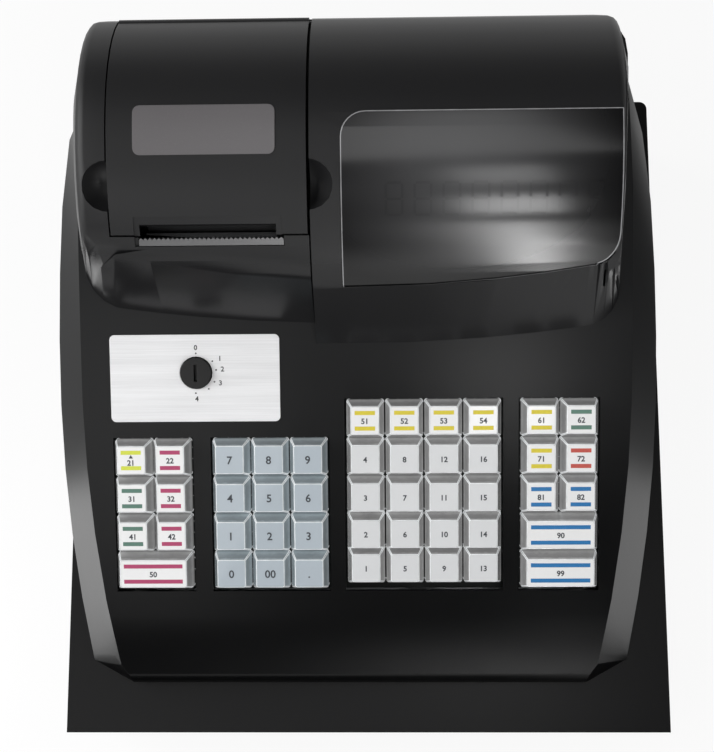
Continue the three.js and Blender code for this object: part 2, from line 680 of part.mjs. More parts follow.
function roofPoints(drop) {
  const start = Math.PI / 2 + TANGENT_ANGLE;
  const points = [];
  const radius = ROOF_RADIUS - drop;
  const onArc = (angle) => new THREE.Vector2(
    SUMMIT_Y + radius * Math.cos(angle), ROOF_CENTRE_Z + radius * Math.sin(angle),
  );
  const first = onArc(start);
  points.push(new THREE.Vector2(
    first.x - ROOF_FOOT * Math.cos(TANGENT_ANGLE), first.y - ROOF_FOOT * Math.sin(TANGENT_ANGLE),
  ));
  for (let i = 0; i <= ROOF_STEPS; i += 1) {
    const angle = start + ((Math.PI / 2 - start) * i) / ROOF_STEPS;
    points.push(onArc(angle));
  }
  const rear = REAR_RADIUS - drop;
  const rearZ = ROOF_CENTRE_Z + ROOF_RADIUS - REAR_RADIUS;
  for (let i = 1; i <= REAR_STEPS; i += 1) {
    const angle = Math.PI / 2 - (ROOF_END_ANGLE * i) / REAR_STEPS;
    points.push(new THREE.Vector2(SUMMIT_Y + rear * Math.cos(angle), rearZ + rear * Math.sin(angle)));
  }
  return points;
}

function roofSection(x, drop) {
  const points = roofPoints(drop);
  const end = points[points.length - 1];
  const low = points[0].y;
  const outline = [...points, new THREE.Vector2(end.x, low)];
  return outline.reverse().map((point) => new THREE.Vector3(x, point.x, point.y));
}

function roofBlock(drop, x0, x1) {
  return solid(loft([roofSection(x0, drop), roofSection(x1, drop)], true));
}

// The same with both side edges rounded
function roundedRoof(drop, half) {
  const stations = [[-half - ROOF_SKIRT, drop + ROOF_EDGE + ROOF_SKIRT_DROP]];
  for (let i = 0; i < CORNER_STEPS; i += 1) {
    const angle = (Math.PI / 2) * (i / (CORNER_STEPS - 1));
    stations.push([-half + ROOF_EDGE * (1 - Math.cos(angle)), drop + ROOF_EDGE * (1 - Math.sin(angle))]);
  }
  const mirrored = stations.map(([x, low]) => [-x, low]).reverse();
  return solid(loft([...stations, ...mirrored].map(([x, low]) => roofSection(x, low)), true));
}

const frontEdge = (form, x) => form.frontY + x ** 2 / (2 * FRONT_BOW);
const sideEdge = (form, y) => form.side - Math.max(form.widestY - y, 0) ** 2 / (2 * form.bow);

// Plan of one housing at a height above its foot; mirror is -1 for the left one
function towerRing(form, mirror, inset, nearX, height) {
  const outline = [[nearX, frontEdge(form, nearX) + inset, 0, -1]];
  for (const share of BOW_SHARES) {
    const x = nearX + (CORNER_X - nearX) * share;
    outline.push([x, frontEdge(form, x) + inset, 0, -1]);
  }
  const centreY = frontEdge(form, CORNER_X) + form.corner;
  const cornerRight = sideEdge(form, centreY);
  const cornerX = cornerRight - form.corner;
  for (let i = 0; i <= CORNER_STEPS + 1; i += 1) {
    const angle = (Math.PI / 2) * (i / (CORNER_STEPS + 1) - 1);
    const [nx, ny] = [Math.cos(angle), Math.sin(angle)];
    outline.push([cornerX + (form.corner - inset) * nx, centreY + (form.corner - inset) * ny, nx, ny]);
  }
  for (const y of [(centreY + form.widestY) / 2, form.widestY]) {
    outline.push([sideEdge(form, y) - inset, y, 1, 0]);
  }
  for (let i = 0; i <= CORNER_STEPS; i += 1) {
    const angle = (Math.PI / 2) * (i / CORNER_STEPS);
    const [nx, ny] = [Math.cos(angle), Math.sin(angle)];
    const reach = TOWER_REAR_CORNER - inset;
    outline.push([
      form.side - TOWER_REAR_CORNER + reach * nx, CASE_DEPTH - TOWER_REAR_CORNER + reach * ny, nx,
      Math.max(-ny, 0),
    ]);
  }
  outline.push([nearX, CASE_DEPTH - inset, 0, 0]);
  const ring = outline.map(([x, y, nx, ny]) => new THREE.Vector3(
    mirror * (x - nx * SIDE_LEAN_SHARE * height), y - Math.min(ny, 0) * form.leanShare * height,
    panelZ(y) + height,
  ));
  return mirror < 0 ? ring.reverse() : ring;
}

function towerBody(form, mirror, inset, nearX, low) {
  const plan = solid(loft([
    towerRing(form, mirror, inset, nearX, low), towerRing(form, mirror, inset, nearX, TOWER_TOP),
  ]));
  return plan.intersect(roundedRoof(inset, ROOF_HALF - inset));
}

// A frame that lies on the roof's front arc at a given y: its y runs up the slope, its z out of the roof
function roofFrame(y, out) {
  const angle = Math.asin((SUMMIT_Y - y) / ROOF_RADIUS);
  const radius = ROOF_RADIUS + out;
  return {
    angle, y: SUMMIT_Y - radius * Math.sin(angle), z: ROOF_CENTRE_Z + radius * Math.cos(angle),
  };
}

function frameMatrix(place) {
  return new THREE.Matrix4().makeRotationX(place.angle).setPosition(0, place.y, place.z);
}

function scoop(x, radius) {
  const place = roofFrame(SCOOP_Y, SCOOP_RISE);
  const geometry = new THREE.SphereGeometry(radius, ROD_SIDES, PIN_SIDES);
  geometry.translate(x, place.y, place.z);
  return solid(geometry);
}

const slotRecess = () => block(
  SLOT_LEFT - SLOT_RECESS_SIDE, SLOT_RIGHT + SLOT_RECESS_SIDE, -TEAR_WIDTH / 2 - SEAT_GAP,
  SLOT_RECESS_LENGTH - TEAR_WIDTH / 2,
  -SLOT_RECESS_DEPTH, OVERRUN, frameMatrix(roofFrame(TEAR_Y, 0)),
);

function makePrinterHousing() {
  const outer = towerBody(PRINTER, -1, 0, PRINTER.nearX, SEAT_GAP);
  const hollow = towerBody(PRINTER, -1, TOWER_WALL, PRINTER.nearX - OVERRUN, -OVERRUN);
  const opening = DOOR_LEFT - DOOR_SIDE_GAP;
  let lining = block(
    opening - WELL_WALL, opening, DOOR_FRONT, CASE_DEPTH - TOWER_WALL, 0, TOWER_TOP + ROOF_RADIUS,
  );
  lining = lining.add(scoop(DOOR_LEFT, SCOOP_RADIUS + SCOOP_WALL).intersect(
    block(-cabinetHalf, opening, 0, CASE_DEPTH, 0, TOWER_TOP + ROOF_RADIUS),
  ));
  let body = outer.subtract(hollow).add(lining.intersect(outer));
  body = body.subtract(block(
    opening, cabinetHalf, DOOR_FRONT - DOOR_SIDE_GAP, CASE_DEPTH + OVERRUN, 0, TOWER_TOP + ROOF_RADIUS,
  ));
  body = body.subtract(scoop(DOOR_LEFT, SCOOP_RADIUS));
  body = body.subtract(slotRecess());
  body = body.subtract(block(
    TEAR_LEFT - SEAT_GAP, TEAR_RIGHT + SEAT_GAP, -TEAR_WIDTH / 2 - SEAT_GAP, TEAR_WIDTH,
    -SLOT_RECESS_DEPTH - TEAR_SHEET / 2,
    OVERRUN, frameMatrix(roofFrame(TEAR_Y, 0)),
  ));
  return body.subtract(rod(
    "x", DOOR_PIN + RUN_GAP, opening - DOOR_PIN_LENGTH, opening + OVERRUN, DOOR_AXIS_Y, doorAxisZ, PIN_SIDES,
  ));
}

const modulePlace = {
  angle: MODULE_TILT,
  y: SUMMIT_Y - (ROOF_RADIUS - MODULE_DROP) * Math.sin(MODULE_TILT),
  z: ROOF_CENTRE_Z + (ROOF_RADIUS - MODULE_DROP) * Math.cos(MODULE_TILT),
};

// The window seen from above: its bottom edge runs along the bowed crease
function windowOutline(inset) {
  const left = WINDOW_LEFT + inset;
  const right = WINDOW_RIGHT - inset;
  const top = SUMMIT_Y - WINDOW_TOP_SPACE - inset;
  const corner = Math.max(WINDOW_CORNER - inset, WINDOW_CORNER * WINDOW_LEAST_CORNER_SHARE);
  const foot = SUMMIT_Y - ROOF_RADIUS * WINDOW_BOTTOM_SHARE + inset;
  const bottom = (x) => foot + x ** 2 / (2 * FRONT_BOW);
  const outline = new THREE.Shape();
  outline.moveTo(left, bottom(left));
  for (const share of BOW_SHARES) {
    const x = left + (right - corner - left) * share;
    outline.lineTo(x, bottom(x));
  }
  const turn = right - corner;
  outline.lineTo(turn, bottom(turn));
  outline.absarc(turn, bottom(turn) + corner, corner, -Math.PI / 2, 0);
  outline.lineTo(right, top);
  outline.lineTo(left + corner, top);
  outline.absarc(left + corner, top - corner, corner, Math.PI / 2, Math.PI);
  return outline;
}

const windowPrism = (inset) => prism(windowOutline(inset), 0, TOWER_TOP + ROOF_RADIUS);

function makeDisplayHousing() {
  const outer = towerBody(DISPLAY, 1, 0, DISPLAY.nearX, SEAT_GAP);
  const hollow = towerBody(DISPLAY, 1, TOWER_WALL, DISPLAY.nearX + TOWER_WALL, -OVERRUN);
  const lining = scoop(DOOR_RIGHT, SCOOP_RADIUS + SCOOP_WALL);
  const bossFrame = frameMatrix(modulePlace);
  let bosses = null;
  for (const side of [-1, 1]) {
    for (const end of [-1, 1]) {
      const x = MODULE_X + (side * (MODULE_WIDTH - BOSS_SIZE)) / 2;
      const y = (end * (MODULE_LENGTH - BOSS_SIZE)) / 2;
      const half = BOSS_SIZE / 2;
      const boss = block(x - half, x + half, y - half, y + half, SEAT_GAP, MODULE_DROP, bossFrame);
      bosses = bosses ? bosses.add(boss) : boss;
    }
  }
  bosses = bosses.intersect(roofBlock(TOWER_WALL / 2, DISPLAY.nearX, ROOF_HALF));
  let body = outer.subtract(hollow).add(lining.intersect(outer)).add(bosses);
  body = body.subtract(scoop(DOOR_RIGHT, SCOOP_RADIUS));
  const recess = windowPrism(-SEAT_GAP).subtract(roofBlock(
    WINDOW_SHEET - WINDOW_PROUD + SEAT_GAP, -cabinetHalf, cabinetHalf,
  ));
  body = body.subtract(recess);
  body = body.subtract(windowPrism(WINDOW_LEDGE).subtract(bosses));
  return body.subtract(rod(
    "x", DOOR_PIN + RUN_GAP, DISPLAY.nearX - OVERRUN, DISPLAY.nearX + DOOR_PIN_LENGTH, DOOR_AXIS_Y,
    doorAxisZ, PIN_SIDES,
  ));
}

function makeWindow() {
  const band = roofBlock(-WINDOW_PROUD, -cabinetHalf, cabinetHalf).subtract(
    roofBlock(WINDOW_SHEET - WINDOW_PROUD, -cabinetHalf, cabinetHalf),
  );
  return band.intersect(windowPrism(0));
}

// Printer door: a curved cover on a barrel at its rear edge, with brackets for the platen
function makeDoor() {
  let body = roofBlock(0, DOOR_LEFT, DOOR_RIGHT).subtract(
    roofBlock(DOOR_SHEET, DOOR_LEFT - OVERRUN, DOOR_RIGHT + OVERRUN),
  );
  body = body.intersect(block(
    DOOR_LEFT, DOOR_RIGHT, DOOR_FRONT, DOOR_AXIS_Y, ROOF_CENTRE_Z, TOWER_TOP + ROOF_RADIUS,
  ));
  const inside = roofBlock(DOOR_SHEET / 2, DOOR_LEFT, DOOR_RIGHT);
  for (const x of [DOOR_LEFT + BRACKET_INSET, DOOR_RIGHT - BRACKET_INSET - BRACKET_SHEET]) {
    const bracket = block(
      x, x + BRACKET_SHEET, PLATEN_Y - BRACKET_HALF, PLATEN_Y + BRACKET_HALF, platenZ - BRACKET_DROP,
      TOWER_TOP + ROOF_RADIUS,
    );
    body = body.add(bracket.intersect(inside));
  }
  body = body.add(rod("x", DOOR_BARREL, DOOR_LEFT, DOOR_RIGHT, DOOR_AXIS_Y, doorAxisZ, BARREL_SIDES));
  body = body.add(rod(
    "x", DOOR_PIN, DOOR_LEFT - DOOR_PIN_LENGTH, DOOR_RIGHT + DOOR_PIN_LENGTH, DOOR_AXIS_Y, doorAxisZ,
    PIN_SIDES,
  ));
  body = body.subtract(rod(
    "x", PLATEN_AXLE + RUN_GAP, DOOR_LEFT + SEAT_GAP, DOOR_RIGHT - SEAT_GAP, PLATEN_Y, platenZ, PIN_SIDES,
  ));
  body = body.subtract(block(
    SLOT_LEFT, SLOT_RIGHT, DOOR_FRONT - OVERRUN, SLOT_REAR, ROOF_CENTRE_Z, TOWER_TOP + ROOF_RADIUS,
  ));
  return body.subtract(slotRecess());
}

// Tear bar: a strip with teeth along its rear edge, flat in its own place
function makeTearBar() {
  const outline = new THREE.Shape();
  const width = TEAR_RIGHT - TEAR_LEFT;
  outline.moveTo(TEAR_LEFT, -TEAR_WIDTH / 2);
  outline.lineTo(TEAR_RIGHT, -TEAR_WIDTH / 2);
  for (let i = TEAR_TEETH; i > 0; i -= 1) {
    outline.lineTo(TEAR_LEFT + (width * i) / TEAR_TEETH, TEAR_WIDTH / 2 - TEAR_TOOTH);
    outline.lineTo(TEAR_LEFT + (width * (2 * i - 1)) / (2 * TEAR_TEETH), TEAR_WIDTH / 2);
  }
  outline.lineTo(TEAR_LEFT, TEAR_WIDTH / 2 - TEAR_TOOTH);
  return new THREE.ExtrudeGeometry(outline, { depth: TEAR_SHEET, bevelEnabled: false });
}

// Printer mechanism: two side plates on a foot plate, the print head's beam and the paper bucket
function makeMechanism() {
  const foot = BASE_SHEET + 2 * SEAT_GAP;
  const plates = [FRAME_LEFT, FRAME_RIGHT - FRAME_SHEET];
  let body = block(FRAME_LEFT, FRAME_RIGHT, FRAME_REAR - FRAME_FOOT, FRAME_REAR, foot, foot + FRAME_SHEET);
  body = body.add(block(
    FRAME_LEFT, FRAME_RIGHT, FRAME_FRONT, FRAME_FRONT + FRAME_FOOT, foot, foot + FRAME_SHEET,
  ));
  for (const x of plates) {
    body = body.add(block(x, x + FRAME_SHEET, FRAME_FRONT, FRAME_REAR, foot, FRAME_TOP));
  }
  body = body.add(block(
    FRAME_LEFT, FRAME_RIGHT, FRAME_FRONT, HEAD_REAR, HEAD_BOTTOM - HEAD_SIDE_GAP, HEAD_BOTTOM,
  ));
  body = body.add(block(
    FRAME_LEFT + HEAD_SIDE_GAP, FRAME_RIGHT - HEAD_SIDE_GAP, FRAME_FRONT, HEAD_REAR,
    HEAD_BOTTOM - HEAD_SIDE_GAP / 2, HEAD_TOP,
  ));
  const radius = ROLL_RADIUS + BUCKET_GAP;
  let bucket = rod("x", radius + BUCKET_WALL, FRAME_LEFT, FRAME_RIGHT, SUMMIT_Y, ROLL_Z, ROLL_SIDES);
  const rollLeft = (FRAME_LEFT + FRAME_RIGHT - ROLL_WIDTH) / 2 - SEAT_GAP;
  const rollRight = (FRAME_LEFT + FRAME_RIGHT + ROLL_WIDTH) / 2 + SEAT_GAP;
  bucket = bucket.subtract(rod("x", radius, rollLeft, rollRight, SUMMIT_Y, ROLL_Z, ROLL_SIDES));
  bucket = bucket.subtract(block(
    rollLeft, rollRight, SUMMIT_Y - radius, SUMMIT_Y + radius, ROLL_Z, ROLL_Z + 2 * radius,
  ));
  bucket = bucket.subtract(block(
    FRAME_LEFT - OVERRUN, FRAME_RIGHT + OVERRUN, SUMMIT_Y - 2 * radius, SUMMIT_Y + 2 * radius, FRAME_TOP,
    ROLL_Z + 2 * radius,
  ));
  return body.add(bucket);
}

function makePlaten() {
  const left = DOOR_LEFT + BRACKET_INSET + BRACKET_SHEET + RUN_GAP;
  const right = DOOR_RIGHT - BRACKET_INSET - BRACKET_SHEET - RUN_GAP;
  const roller = rod("x", PLATEN_RADIUS, left, right, PLATEN_Y, platenZ, DISC_SIDES);
  return roller.add(rod(
    "x", PLATEN_AXLE, left - BRACKET_SHEET, right + BRACKET_SHEET, PLATEN_Y, platenZ, PIN_SIDES,
  ));
}

function makeRoll() {
  const middle = (FRAME_LEFT + FRAME_RIGHT) / 2;
  const profile = [
    new THREE.Vector2(ROLL_CORE, -ROLL_WIDTH / 2), new THREE.Vector2(ROLL_RADIUS, -ROLL_WIDTH / 2),
    new THREE.Vector2(ROLL_RADIUS, ROLL_WIDTH / 2), new THREE.Vector2(ROLL_CORE, ROLL_WIDTH / 2),
    new THREE.Vector2(ROLL_CORE, -ROLL_WIDTH / 2),
  ];
  const geometry = new THREE.LatheGeometry(profile, ROLL_SIDES);
  geometry.rotateZ(Math.PI / 2);
  geometry.translate(middle, SUMMIT_Y, ROLL_Z);
  return geometryOf(solid(geometry));
}

// Keys: a cap with a shoulder on a square stem, in the panel's own frame
function squareRing(width, length, chamfer, z) {
  const [w, l] = [width / 2, length / 2];
  const corners = [
    [chamfer - w, -l], [w - chamfer, -l], [w, chamfer - l], [w, l - chamfer],
    [w - chamfer, l], [chamfer - w, l], [-w, l - chamfer], [-w, chamfer - l],
  ];
  return corners.map(([x, y]) => new THREE.Vector3(x, y, z));
}

function makeKey(width) {
  const extra = width - KEY_BASE;
  const cap = solid(loft([
    squareRing(width, KEY_BASE, KEY_CHAMFER, -KEY_SKIRT),
    squareRing(width, KEY_BASE, KEY_CHAMFER, KEY_SHOULDER),
    squareRing(KEY_TOP + extra, KEY_TOP, KEY_CHAMFER, KEY_RISE),
  ]));
  const half = STEM_SIZE / 2;
  return cap.add(block(-half, half, -half, half, -KEY_SKIRT - STEM_LENGTH, 0));
}

// A column of keys on one bar under the panel
function makeColumn() {
  const length = (ROWS - 1) * KEY_PITCH_Y;
  let body = block(
    -BAR_WIDTH / 2, BAR_WIDTH / 2, -length, 0, -KEY_SKIRT - BAR_HEIGHT, BAR_HEIGHT - KEY_SKIRT,
  );
  for (let row = 0; row < ROWS; row += 1) {
    body = body.add(makeKey(KEY_BASE).translate([0, -row * KEY_PITCH_Y, 0]));
  }
  return body;
}

const switchPlaces = [];
for (const keys of keyBlocks) {
  for (let row = keys.top; row < ROWS; row += 1) {
    if (keys.wide.includes(row)) {
      switchPlaces.push([columnX(keys, 0) + KEY_PITCH_X / 2, rowS(row)]);
    } else {
      for (let column = 0; column < keys.columns; column += 1) {
        switchPlaces.push([columnX(keys, column), rowS(row)]);
      }
    }
  }
}

const boardLeft = LEFT_KEYS - CUT_SIDE - BOARD_MARGIN;
const boardRight = RIGHT_KEYS + KEY_PITCH_X + CUT_SIDE + BOARD_MARGIN;
const boardFront = rowS(ROWS - 1) - CUT_BOTTOM - BOARD_MARGIN;
const boardRear = topRow + CUT_TOP + BOARD_MARGIN / 2;

function makeKeyboardBoard() {
  const top = BOARD_SHEET - BOARD_DROP;
  let body = block(boardLeft, boardRight, boardFront, boardRear, -BOARD_DROP, top);
  const half = SWITCH_SIZE / 2;
  const hole = STEM_SIZE / 2 + SEAT_GAP;
  for (const [x, s] of switchPlaces) {
    let housing = block(x - half, x + half, s - half, s + half, top - BOARD_SHEET / 2, top + SWITCH_HEIGHT);
    housing = housing.subtract(block(
      x - hole, x + hole, s - hole, s + hole, top, top + SWITCH_HEIGHT + OVERRUN,
    ));
    body = body.add(housing);
  }
  return body;
}

function makeModePlate() {
  const outline = roundedOutline(
    PLATE_LEFT, PLATE_RIGHT, plateFront, plateRear, plateCorners,
  );
  const plate = prism(outline, -PLATE_SINK, PLATE_SHEET - PLATE_SINK);
  return plate.subtract(rod("z", MODE_RADIUS + RUN_GAP, -WELL_REACH, WELL_REACH, MODE_X, modeS, DISC_SIDES));
}

function makeModeLock() {
  const body = rod("z", MODE_RADIUS, MODE_RISE - MODE_LENGTH, MODE_RISE, 0, 0, DISC_SIDES);
  return body.subtract(block(
    -KEYWAY_WIDTH / 2, KEYWAY_WIDTH / 2, -KEYWAY_LENGTH / 2, KEYWAY_LENGTH / 2, MODE_RISE - KEYWAY_DEPTH,
    MODE_RISE + OVERRUN,
  ));
}

// Base plate with posts up to both boards
function makeBasePlate() {
  let body = block(
    -BASE_HALF, BASE_HALF, BASE_FRONT, CASE_DEPTH - BASE_REAR_SPACE, SEAT_GAP, SEAT_GAP + BASE_SHEET,
  );
  const keyboardSpace = block(
    boardLeft, boardRight, boardFront, boardRear, -BOARD_DROP - SEAT_GAP, CASE_DEPTH, panelFrame,
  );
  for (const x of POST_X) {
    for (const s of [POST_FRONT, towerSlope - POST_REAR_SPACE]) {
      const y = LIP_Y + s * Math.cos(PANEL_TILT);
      const post = rod("z", POST_RADIUS, SEAT_GAP + BASE_SHEET / 2, panelZ(y), x, y, PIN_SIDES);
      body = body.add(post.subtract(keyboardSpace));
    }
  }
  for (const x of [MAIN_LEFT + MAIN_POST_INSET, MAIN_RIGHT - MAIN_POST_INSET]) {
    for (const y of [MAIN_FRONT + MAIN_POST_INSET, MAIN_REAR - MAIN_POST_INSET]) {
      body = body.add(rod(
        "z", POST_RADIUS / 2, SEAT_GAP + BASE_SHEET / 2, MAIN_RISE - SEAT_GAP, x, y, PIN_SIDES,
      ));
    }
  }
  return body;
}

function makeMainBoard() {
  const top = MAIN_RISE + BOARD_SHEET;
  let body = block(MAIN_LEFT, MAIN_RIGHT, MAIN_FRONT, MAIN_REAR, MAIN_RISE, top);
  const [width, length] = [MAIN_RIGHT - MAIN_LEFT, MAIN_REAR - MAIN_FRONT];
  for (const [x, y, w, l] of CHIPS_SHARES) {
    const [cx, cy] = [MAIN_LEFT + x * width, MAIN_FRONT + y * length];
    const [hw, hl] = [(w * width) / 2, (l * length) / 2];
    body = body.add(block(cx - hw, cx + hw, cy - hl, cy + hl, top - BOARD_SHEET / 2, top + CHIP_HEIGHT));
  }
  return body;
}

function makePowerSupply() {
  const low = BASE_SHEET + 2 * SEAT_GAP;
  const rear = CASE_DEPTH - CASE_WALL - OVERRUN;
  let body = block(
    SUPPLY_LEFT, SUPPLY_RIGHT, SUPPLY_FRONT, rear, low, low + SUPPLY_HEIGHT * SUPPLY_CORE_SHARE,
  );
  body = body.add(block(
    SUPPLY_LEFT, SUPPLY_LEFT + SUPPLY_TRANSFORMER, SUPPLY_FRONT, SUPPLY_FRONT + SUPPLY_TRANSFORMER, low,
    low + SUPPLY_HEIGHT,
  ));
  return body.add(block(
    INLET_X - INLET_WIDTH / 2, INLET_X + INLET_WIDTH / 2, rear - OVERRUN, CASE_DEPTH - SEAT_GAP,
    INLET_Z - INLET_HEIGHT / 2, INLET_Z + INLET_HEIGHT / 2,
  ));
}

// The cabinet, its feet and the drawer
add(part, "drawer_cabinet", geometryOf(makeCabinet()), PAINTED);
for (const [side, x] of [["left", -1], ["right", 1]]) {
  for (const [end, y] of [["front", -1], ["rear", 1]]) {
    const foot = add(part, `foot_${end}_${side}`, makeFoot(), RUBBER);
    foot.position.set(x * (cabinetHalf - FOOT_INSET), y * (cabinetRear - FOOT_INSET), 0);
  }
}
add(part, "cash_drawer", geometryOf(makePan()), SHEET_STEEL);
add(part, "drawer_front", geometryOf(makeDrawerFront()), PAINTED);
add(part, "drawer_lock", geometryOf(makeDrawerLock()), SHEET_STEEL);
add(part, "money_tray", geometryOf(makeTray()), GREY_PLASTIC);
for (let i = 0; i < BILL_COUNT; i += 1) {
  const clip = add(part, `bill_clip_${i + 1}`, geometryOf(makeClip()), SHEET_STEEL);
  clip.position.set(billLeft(i) + billWidth / 2, clipY, clipZ);
}

// The register on top of the cabinet
const register = new THREE.Group();
register.position.set(CASE_SHIFT, cabinetFront, cabinetTop);
part.add(register);
add(register, "base_plate", geometryOf(makeBasePlate()), SHEET_STEEL);
add(register, "keyboard_case", geometryOf(makeCase()), HOUSING);
add(register, "printer_housing", geometryOf(makePrinterHousing()), HOUSING);
add(register, "display_housing", geometryOf(makeDisplayHousing()), HOUSING);
add(register, "printer_door", geometryOf(makeDoor()), HOUSING);
add(register, "display_window", geometryOf(makeWindow()), GLOSSY);
add(register, "printer_mechanism", geometryOf(makeMechanism()), GREY_PLASTIC);
add(register, "platen_roller", geometryOf(makePlaten()), RUBBER);
add(register, "paper_roll", makeRoll(), PAPER);
add(register, "main_board", geometryOf(makeMainBoard()), BOARD_GREEN);
add(register, "power_supply", geometryOf(makePowerSupply()), SHEET_STEEL);

const module = add(
  register, "display_module", new THREE.BoxGeometry(MODULE_WIDTH, MODULE_LENGTH, MODULE_DEPTH), GLOSSY,
);
module.position.set(
  MODULE_X, modulePlace.y + (MODULE_DEPTH / 2) * Math.sin(MODULE_TILT),
  modulePlace.z - (MODULE_DEPTH / 2) * Math.cos(MODULE_TILT),
);
module.rotation.x = MODULE_TILT;

const tearPlace = roofFrame(TEAR_Y, -SLOT_RECESS_DEPTH - TEAR_SHEET / 2 + SEAT_GAP);
const tearBar = add(register, "tear_bar", makeTearBar(), SHEET_STEEL);
tearBar.position.set(0, tearPlace.y, tearPlace.z);
tearBar.rotation.x = tearPlace.angle;

// The sloping panel carries the keyboard and the mode lock
const panel = new THREE.Group();
panel.position.set(0, LIP_Y, LIP_Z);
panel.rotation.x = PANEL_TILT;
register.add(panel);
add(panel, "keyboard_board", geometryOf(makeKeyboardBoard()), BOARD_GREEN);
add(panel, "mode_plate", geometryOf(makeModePlate()), BRUSHED);
const modeLock = add(panel, "mode_lock", geometryOf(makeModeLock()), SHEET_STEEL);
modeLock.position.set(MODE_X, modeS, 0);

const wideKey = KEY_BASE + KEY_PITCH_X;
const leftFinishes = [KEY_YELLOW, KEY_GREEN, KEY_GREEN, KEY_RED];
const rightFinishes = [KEY_YELLOW, KEY_YELLOW, KEY_BLUE, KEY_BLUE];

function placeKey(name, body, x, s, finish) {
  const key = add(panel, name, geometryOf(body), finish);
  key.position.set(x, s, 0);
}

function placeBlock(keys, finishOf) {
  for (let row = keys.top; row < ROWS; row += 1) {
    if (keys.wide.includes(row)) {
      const middle = columnX(keys, 0) + KEY_PITCH_X / 2;
      placeKey(`${keys.name}_key_wide_${row + 1}`, makeKey(wideKey), middle, rowS(row), finishOf(row));
    } else {
      for (let column = 0; column < keys.columns; column += 1) {
        const name = `${keys.name}_key_${row + 1}_${column + 1}`;
        placeKey(name, makeKey(KEY_BASE), columnX(keys, column), rowS(row), finishOf(row));
      }
    }
  }
}

const [leftKeys, numberKeys, departmentKeys, rightKeys] = keyBlocks;
placeBlock(leftKeys, (row) => leftFinishes[row - leftKeys.top]);
placeBlock(numberKeys, () => KEY_GREY);
placeBlock(rightKeys, (row) => rightFinishes[Math.min(row, ROWS - 2)]);
for (let column = 0; column < departmentKeys.columns; column += 1) {
  placeKey(`department_keys_${column + 1}`, makeColumn(), columnX(departmentKeys, column), topRow, KEY_CLEAR);
}

export default part;
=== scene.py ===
"""Finish, printed keys, glass and light for an electronic cash register on its drawer cabinet."""
import json
import math

import bmesh
import bpy
from mathutils import Matrix, Vector


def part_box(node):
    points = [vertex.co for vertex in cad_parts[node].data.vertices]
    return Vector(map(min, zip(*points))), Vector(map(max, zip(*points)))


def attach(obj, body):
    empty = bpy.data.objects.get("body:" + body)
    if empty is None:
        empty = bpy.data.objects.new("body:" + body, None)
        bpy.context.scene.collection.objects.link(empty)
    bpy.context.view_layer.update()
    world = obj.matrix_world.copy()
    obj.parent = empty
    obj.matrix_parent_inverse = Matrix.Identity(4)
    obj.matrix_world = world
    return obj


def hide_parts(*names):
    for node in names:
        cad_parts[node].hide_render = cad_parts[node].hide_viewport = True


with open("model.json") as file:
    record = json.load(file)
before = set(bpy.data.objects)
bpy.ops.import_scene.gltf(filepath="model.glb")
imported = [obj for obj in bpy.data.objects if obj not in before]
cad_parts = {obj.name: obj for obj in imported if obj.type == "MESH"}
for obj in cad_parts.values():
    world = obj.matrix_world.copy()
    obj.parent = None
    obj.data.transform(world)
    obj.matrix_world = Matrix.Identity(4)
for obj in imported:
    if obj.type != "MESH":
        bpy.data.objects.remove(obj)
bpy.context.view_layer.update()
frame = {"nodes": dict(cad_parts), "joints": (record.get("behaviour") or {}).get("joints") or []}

bl_info = {
    "name": "Cash register finish",
    "version": (1, 0, 0),
    "blender": (4, 5, 0),
    "location": "View3D > Sidebar > Register",
    "description": "Shells, printed keys, display glass and light for a cash register",
    "category": "Object",
}

MM = 0.001
TOUCH = 0.01 * MM

# What the frame says about places
JOINTS = {joint["name"]: joint for joint in frame["joints"]}
LOCK_PLACE = Vector(JOINTS["mode_lock_turn"]["pos_m"])
PANEL_UP = Vector(JOINTS["mode_lock_turn"]["axis"]).normalized()
PANEL_SIDE = Vector((1, 0, 0))
PANEL_BACK = PANEL_UP.cross(PANEL_SIDE)
PANEL = Matrix.Translation(LOCK_PLACE) @ Matrix((PANEL_SIDE, PANEL_BACK, PANEL_UP)).transposed().to_4x4()
CASE_LOW, CASE_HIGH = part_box("keyboard_case")
DOOR_LOW, DOOR_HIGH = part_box("printer_door")
WINDOW_LOW, WINDOW_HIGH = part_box("display_window")
ROLL_LOW, ROLL_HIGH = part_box("paper_roll")

# The roof's arc across the register: its radius, how far its summit lies from the case's rear, and its axis
ROOF_RADIUS = 97.6 * MM
SUMMIT_TO_REAR = 50 * MM
SUMMIT_Y = CASE_HIGH.y - SUMMIT_TO_REAR
ROOF_CENTRE_Z = DOOR_HIGH.z - ROOF_RADIUS
ROOF_AXIS = Vector((0, SUMMIT_Y, ROOF_CENTRE_Z))

# The painted highlight on the window, a lamp's soft reflection: its middle from the window's left, rear and
# top, and how fast it fades, per metre
PAINTED_GLOW_PLACE = Vector((WINDOW_LOW.x, WINDOW_HIGH.y, WINDOW_HIGH.z)) + Vector((54, -20, -3)) * MM
PAINTED_GLOW_FADE = (12.5, 12.5, 20.0)

# Where the tower's polished front ends, and how far it takes to fade
SHEEN_TOP = 199 * MM
SHEEN_FADE = 8 * MM

# Grain of the plastics in waves per metre, and the depth of the marks that bump maps raise
FINE_GRAIN = 2400
COARSE_GRAIN = 1500
FAINT_DEPTH = 0.005 * MM
LIGHT_DEPTH = 0.01 * MM
TOWER_DEPTH = 0.012 * MM
SOFT_DEPTH = 0.03 * MM
PAPER_DEPTH = 0.04 * MM
TRAY_DEPTH = 0.05 * MM
STREAK_DEPTH = 0.12 * MM
DUST_STOPS = ((0.55, 0), (0.8, 0.25))
DUST_SHADE = 1.6

